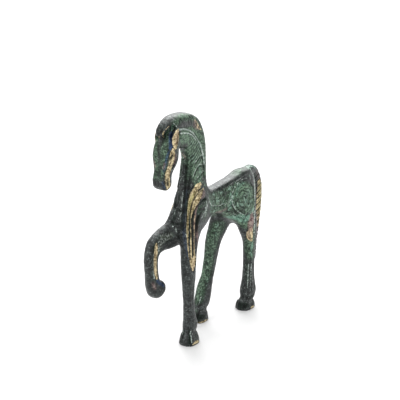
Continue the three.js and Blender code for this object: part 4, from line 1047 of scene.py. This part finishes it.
            [0.4, 53.4, 95.6, 0.4], [2.4, 53.6, 94.6, 0.5], [3.4, 54.6, 92.4, 0.7], [3.4, 56, 88, 0.9],
            [4.6, 54.6, 84, 0.8]]),
        "hindPastern": ("near", 1, [[10.4, 44.6, 7.4, 1.6], [10.4, 48, 7.6, 1.6], [6.4, 52, 7, 1.6]]),
        "hindHoof": ("near", 0.8, [[7, 38.4, 3, 2.4], [11.6, 42, 3.4, 1.2]]),
        "foreCleft": ("near", 1, [
            [8.9, -23.8, 11, 0.5], [9.8, -24.6, 6.2, 0.7], [10.5, -25.3, 2.4, 0.7]]),
        "farHoof": ("near", 0.9, [[-7.4, 5.4, 4, 2.2], [-3, 9, 4, 1.4]]),
        "earMiddle": ("near nearMirrored", 0.9, [
            [7.2, -32.8, 140.6, 0.2], [7.4, -33, 138.4, 0.45], [7.2, -33, 136.4, 0.4]]),
        "thighBeads": ("near", 0.9, [
            [9.4, 43, 57, 0.2], [9.5, 43.4, 54.4, 0.35], [9.6, 43.9, 52, 0.4], [10.1, 45, 49.4, 0.35]]),
        "chestMiddle": ("near", 0.72, overLine("chestMiddle", 0.4, 0.55, 0.55, 0.6, 0.7)),
        "chestPocket": ("near", 0.8, overLine("chestPocket", 0.4, 0.7, 0.8, 0.7, 0.5)),
        "shoulderSplitRear": ("near", 1, overLine("shoulderSplitRear", 0.45)),
        "shoulderFluteMiddle": ("near", 1, [
            [8.8, -5.6, 93.4, 0.5], [9.1, -7.5, 93.5, 0.9], [9, -10.3, 93.3, 1], [9.4, -13.2, 92.7, 0.8],
            [9.4, -15.4, 91.4, 0.5]]),
        "shoulderFluteRear": ("near", 1, [
            [10.4, -8.5, 88, 0.4], [10.4, -11, 87.7, 0.6], [10.5, -14.1, 85.7, 0.9],
            [10.6, -15.9, 83.3, 1.3], [10.6, -17.1, 80.1, 1.1], [10.6, -17.9, 75.8, 0.6]]),
        "farShoulderSplit": ("right", 0.9, [
            [-5.8, 101.4, 0.3], [-10.9, 99.6, 0.4], [-15.5, 97, 0.45], [-18.3, 94, 0.45],
            [-19.9, 89, 0.45], [-21.7, 84.1, 0.45], [-22.8, 76.4, 0.4]]),
        "farFlankSaddle": ("right", 0.8, [
            [-4.4, 96.4, 0.6], [-8, 94.4, 0.6], [-12, 92.6, 0.7], [-15.6, 89, 0.7], [-18, 83.6, 0.6],
            [-19.4, 77, 0.5], [-19.8, 70, 0.4]]),
        "eye": ("near nearMirrored", 1, [
            [5.8, -39, 127.4, 0.4], [5.9, -38.4, 128.1, 0.75], [6, -37.1, 129.2, 0.8],
            [6, -35.4, 130.5, 0.55]]),
        "cheekMarkFront": ("near nearMirrored", 1, overLine("cheekMarkFront", 0.45, 0.55)),
        "cheekMarkRear": ("near nearMirrored", 1, overLine("cheekMarkRear", 0.5, 0.55)),
        "mouth": ("near nearMirrored", 1, [
            [4.7, -39.8, 115.7, 0.6], [4.7, -39.3, 113.6, 0.7], [4.9, -39.3, 111.4, 0.55]]),
        "mouthFront": ("near nearMirrored", 0.9, [[4.5, -41.3, 116.1, 0.4], [4.5, -41.3, 112, 0.4]]),
        "forelockTop": ("near", 0.4, [[0, -38, 147.4, 2], [0, -40.4, 144, 1.2]]),
        "tendonFront": ("left", 0.85, [
            [45.8, 35, 0.4], [45.6, 28, 0.45], [45.6, 22, 0.45], [45.2, 12, 0.4]]),
        "tendonRear": ("left", 0.8, [[48.8, 33, 0.35], [49.2, 22, 0.4], [49.6, 13, 0.35]]),
        "shoulderRim": ("near", 0.8, [
            [5, -11.7, 104, 0.3], [4.9, -15.2, 101.4, 0.35], [4.7, -17, 99.2, 0.35],
            [4.8, -18.6, 96.9, 0.35], [5, -19.8, 94.4, 0.3]]),
        "neckMarkTop": ("near nearMirrored", 0.8, [
            [4.7, -11.9, 116.3, 0.5], [4.8, -9.3, 117.8, 0.6], [4.8, -6, 119.4, 0.6],
            [4.7, -2.5, 119.4, 0.5]]),
        "neckMarkMiddle": ("near nearMirrored", 0.85, [
            [4.9, -13.4, 108.4, 0.5], [5, -11.2, 111.2, 0.65], [5, -8.7, 113.5, 0.7],
            [5, -5.4, 114, 0.65], [4.7, -1.7, 111.9, 0.5]]),
        "neckMarkLow": ("near nearMirrored", 0.8, [
            [5.4, -11.4, 105.4, 0.5], [5.4, -7.6, 107.2, 0.65], [5.2, -4, 108.7, 0.65],
            [4.8, -1.8, 108.4, 0.5]]),
        "foreCleftFar": ("near", 0.95, [
            [5.6, -25.4, 11, 0.5], [5.2, -26.6, 6.4, 0.6], [4.8, -27, 2.4, 0.6]]),
    },
}


def wornShares(points):
    drawings = [
        ((kind, name), line[0], line[2]) for kind in wear["soft"] for name, line in wear[kind].items()
    ]
    shares = {kind: np.zeros(len(points)) for kind in wear["soft"]}
    for (kind, name), _, line, halves in linesOnSkin(drawings):
        _, strength, _, *staysOn = wear[kind][name]
        soft = wear["soft"][kind]
        near, away, _, _ = awayFrom(line, points, halves.max() + soft, halves[:, 0])
        amount = strength * smooth(-away, -soft, soft)
        if staysOn:
            outside = np.min([strokeField(stroke, points[near]) for stroke in staysOn[0]], axis=0)
            amount = amount * smooth(-outside, *wear["strokeFade"])
        shares[kind][near] = np.maximum(shares[kind][near], amount)
    return shares


# Dark wax in what was cut, with painted shade that darkens the cuts: how much of it, and the share or depth
# of a cut over which it fades in
darkWaxAndCutShade = {
    "lockCuts": (1.0, 0.25, 0.65), "carving": (0.75, 0.3, 0.8), "fineLines": (0.6, 0.1, 0.35),
    "bareInside": ("earGroove", "leftFlute"),  # lines that are rubbed bare or green inside
    "lostToMint": 0.9,  # verdigris fills what it has grown in
}
# painted highlight: the crests of the tail's locks are drawn lighter
lockCrestHighlight = {"strength": 0.7, "low": 50, "high": 95, "fade": 5}

points = meshPoints(horse.data)
skin = settle(points.copy(), 2)
normal = skinNormal(skin)
shares = wornShares(skin)
_, shares["winding"], shares["hatch"], rims = gravedLines(skin, normal)
lockCuts, lockCrests = lockShares(skin)
onTail = band(skin, 2, lockCrestHighlight["low"], lockCrestHighlight["high"], lockCrestHighlight["fade"])
# the rims take in the painted highlight on the tail's lock crests
shares["rims"] = np.maximum(rims, lockCrestHighlight["strength"] * lockCrests * onTail)
waxedLines = {
    name: line for name, line in carving["lines"].items() if not name.startswith(darkWaxAndCutShade["bareInside"])
}
cuts = {
    "lockCuts": lockCuts, "carving": carvedDepth(skin, waxedLines),
    "fineLines": carvedDepth(skin, fineLines),
}
for name, cut in cuts.items():
    most, low, high = darkWaxAndCutShade[name]
    shares["groove"] = np.maximum(shares["groove"], most * smooth(cut, low, high))
shares["groove"] *= 1 - darkWaxAndCutShade["lostToMint"] * shares["mintAndHighlight"]
for kind, amount in shares.items():
    horse.data.attributes.new(kind, "FLOAT", "POINT").data.foreach_set("value", amount.astype(np.float32))
print("wear painted")

placePoints(horse.data, (points - centre) * mm)
horse.data.polygons.foreach_set("use_smooth", [True] * len(horse.data.polygons))
print("casting done,", len(horse.data.polygons), "faces")

# Cast tin bronze, chemically patinated and waxed. The dark oxide skin is thin and semi-glossy, the green
# copper carbonate on it is matt and uneven, and polishing has laid the bright metal bare on the ridges.
patina = {
    "bareBronze": ("66573a", "dccca4"),
    "darkOxide": ("131514", "3d4241"),
    "greenOxide": ("17241b", "384e3c"),
    "verdigris": ("34493a", "708e73"),
    "thickVerdigris": ("4b7a67", "84b09a"),
    "mintAndHighlight": ("879d91", "d0dad4"),
    "edges": ("6b8f7d", "9ab5a6"),
    "blueOxide": ("0f2139", "294c7a"),
    "oliveFilm": ("5f5c30", "b9b276"),
    "purpleOxide": ("5a4547", "ab8c86"),
    # painted glints: light specks that stand in for the shine of the rough cast skin
    "paintedGlint": ("5f6663", "959d99"),
    # name: size of the lumps in mm, detail, roughness. The real speckle is finer than half a millimetre,
    # and is drawn coarser so that it shows from the camera.
    "noise": {
        "grain": (0.5, 2, 0.5), "speckle": (1.0, 3, 0.6), "blotch": (2.6, 3, 0.65), "patch": (9, 2, 0.5),
    },
    # roughness and metallic start from polished bronze at 0.3 and 1, and waxed mineral skins at 0.3 to 0.6
    # and 0, and are raised or lowered until the skins shine as the real ones do
    "gloss": {"oxide": 0.33, "verdigris": 0.5, "bare": 0.3},
    "metal": {"oxide": 0.45, "verdigris": 0.15, "bare": 1.0},
    # specular level on the open skin and deep in a cut, lowered there for the soot and wax and as painted
    # shade, so the cuts hardly mirror the room
    "shine": (0.5, 0.1),
    "grain": {"height": 0.2, "strength": 0.7, "share": 0.6},  # height in mm
}

bronze = bpy.data.materials.new("patinated_cast_bronze")
bronze.use_nodes = True
tree = bronze.node_tree
surface = tree.nodes["Principled BSDF"]
place = addNode(tree, "TexCoord", {}, "Object")
at = {
    name: addNode(tree, "TexNoise", {
        "Vector": place, "Scale": 1 / (size * mm), "Detail": detail, "Roughness": rough}, "Fac")
    for name, (size, detail, rough) in patina["noise"].items()
}
at |= {kind: addNode(tree, "Attribute", {}, "Fac", attribute_name=kind) for kind in shares}

# Each mask adds its sources, every one with its own weight, and is cut to a soft step.
masks = {
    "fine": ({"speckle": 1}, 0.4, 0.6),
    "tone": ({"blotch": 1}, 0.38, 0.62),
    "mixed": ({"speckle": 1, "blotch": 0.8}, 0.72, 1.06),
    "greenSkin": ({"verdigris": 1, "patch": 0.6}, 0.4, 1.0),
    "carbonate": ({"verdigris": 1, "blotch": 1.0, "speckle": 0.9, "patch": 0.5}, 1.65, 2.4),
    "crust": ({"thick": 1, "blotch": 0.9, "speckle": 1.0}, 1.2, 1.95),
    # where the painted glints fall
    "glints": ({"speckle": 1, "grain": 0.6, "blotch": 0.4}, 1.14, 1.28),
    "tarnish": ({"rubbed": 1, "blotch": 0.8, "speckle": 0.8}, 1.28, 1.5),
    "lines": ({"mintAndHighlight": 1, "speckle": 0.9}, 0.72, 1.15),
    "film": ({"olive": 1, "rubbed": 0.6, "blotch": 0.6}, 1.0, 1.7),
    "edges": ({"rims": 1, "speckle": 0.8, "verdigris": 0.3}, 0.9, 1.5),
}
for name, (sources, low, high) in masks.items():
    total = None
    for source, weight in sources.items():
        total = addNode(
            tree, "Math", {0: at[source], 1: float(weight), 2: total or 0.0}, operation="MULTIPLY_ADD")
    at[name] = addNode(tree, "MapRange", {
        "Value": total, "From Min": low, "From Max": high}, interpolation_type="SMOOTHSTEP")

# The dark oxide is the ground. Each layer of colour lies over the ones before it: its mask, how much of
# it shows, its two tones and the mask that they change by.
layers = [
    ("greenSkin", 1.0, patina["greenOxide"], "mixed"),
    # painted highlight: light specks laid over the dark metal as glints
    ("glints", 0.6, patina["paintedGlint"], "tone"),
    ("carbonate", 0.9, patina["verdigris"], "fine"),
    ("crust", 0.75, patina["thickVerdigris"], "fine"),
    ("blue", 0.9, patina["blueOxide"], "mixed"),
    # light rims between the cut lines, and the painted highlight on the tail's lock crests
    ("edges", 0.6, patina["edges"], "fine"),
    ("winding", 0.9, (patina["greenOxide"][0], patina["darkOxide"][0]), "tone"),
    ("hatch", 0.85, (patina["greenOxide"][0], patina["darkOxide"][0]), "tone"),
    # pale verdigris lines, with the painted highlights drawn in the same tones
    ("lines", 0.9, patina["mintAndHighlight"], "fine"),
    ("tarnish", 1.0, patina["bareBronze"], "mixed"),
    ("film", 0.7, patina["oliveFilm"], "mixed"),
    ("pink", 0.75, patina["purpleOxide"], "mixed"),
    # dark wax in the cuts, with painted shade in the cuts and round the hoof bottoms
    ("groove", 0.92, (patina["darkOxide"][0], patina["greenOxide"][0]), "tone"),
]
first, second = patina["darkOxide"]  # a Mix node's sockets: 0 share, 2 and 3 numbers, 6 and 7 colours
colour = addNode(tree, "Mix", {0: at["mixed"], 6: linear(first), 7: linear(second)}, 2, data_type="RGBA")
for mask, most, (first, second), variation in layers:
    tones = addNode(tree, "Mix", {0: at[variation], 6: linear(first), 7: linear(second)}, 2, data_type="RGBA")
    amount = addNode(tree, "Math", {0: at[mask], 1: most}, operation="MULTIPLY")
    colour = addNode(tree, "Mix", {0: amount, 6: colour, 7: tones}, 2, data_type="RGBA")
tree.links.new(colour, surface.inputs["Base Color"])

unwaxed = addNode(tree, "Math", {0: 1.0, 1: at["groove"]}, operation="SUBTRACT")
bare = addNode(tree, "Math", {0: at["tarnish"], 1: unwaxed}, operation="MULTIPLY")
for socket, kind in (("Roughness", "gloss"), ("Metallic", "metal")):
    skinValue = addNode(tree, "Mix", {
        0: at["carbonate"], 2: patina[kind]["oxide"], 3: patina[kind]["verdigris"]}, data_type="FLOAT")
    value = addNode(tree, "Mix", {0: bare, 2: skinValue, 3: patina[kind]["bare"]}, data_type="FLOAT")
    tree.links.new(value, surface.inputs[socket])
openShine, shadedHollowShine = patina["shine"]
# painted shade: the cuts reflect less, so they read dark
shine = addNode(tree, "MapRange", {"Value": at["groove"], "To Min": openShine, "To Max": shadedHollowShine})
tree.links.new(shine, surface.inputs["Specular IOR Level"])
grain = patina["grain"]
height = addNode(
    tree, "Math", {0: at["grain"], 1: grain["share"], 2: at["speckle"]}, operation="MULTIPLY_ADD")
bump = addNode(tree, "Bump", {
    "Strength": grain["strength"], "Distance": grain["height"] * mm, "Height": height}, "Normal")
tree.links.new(bump, surface.inputs["Normal"])
horse.data.materials.clear()
horse.data.materials.append(bronze)
print("patina made")

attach(horse, "root")
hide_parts("horse_casting")
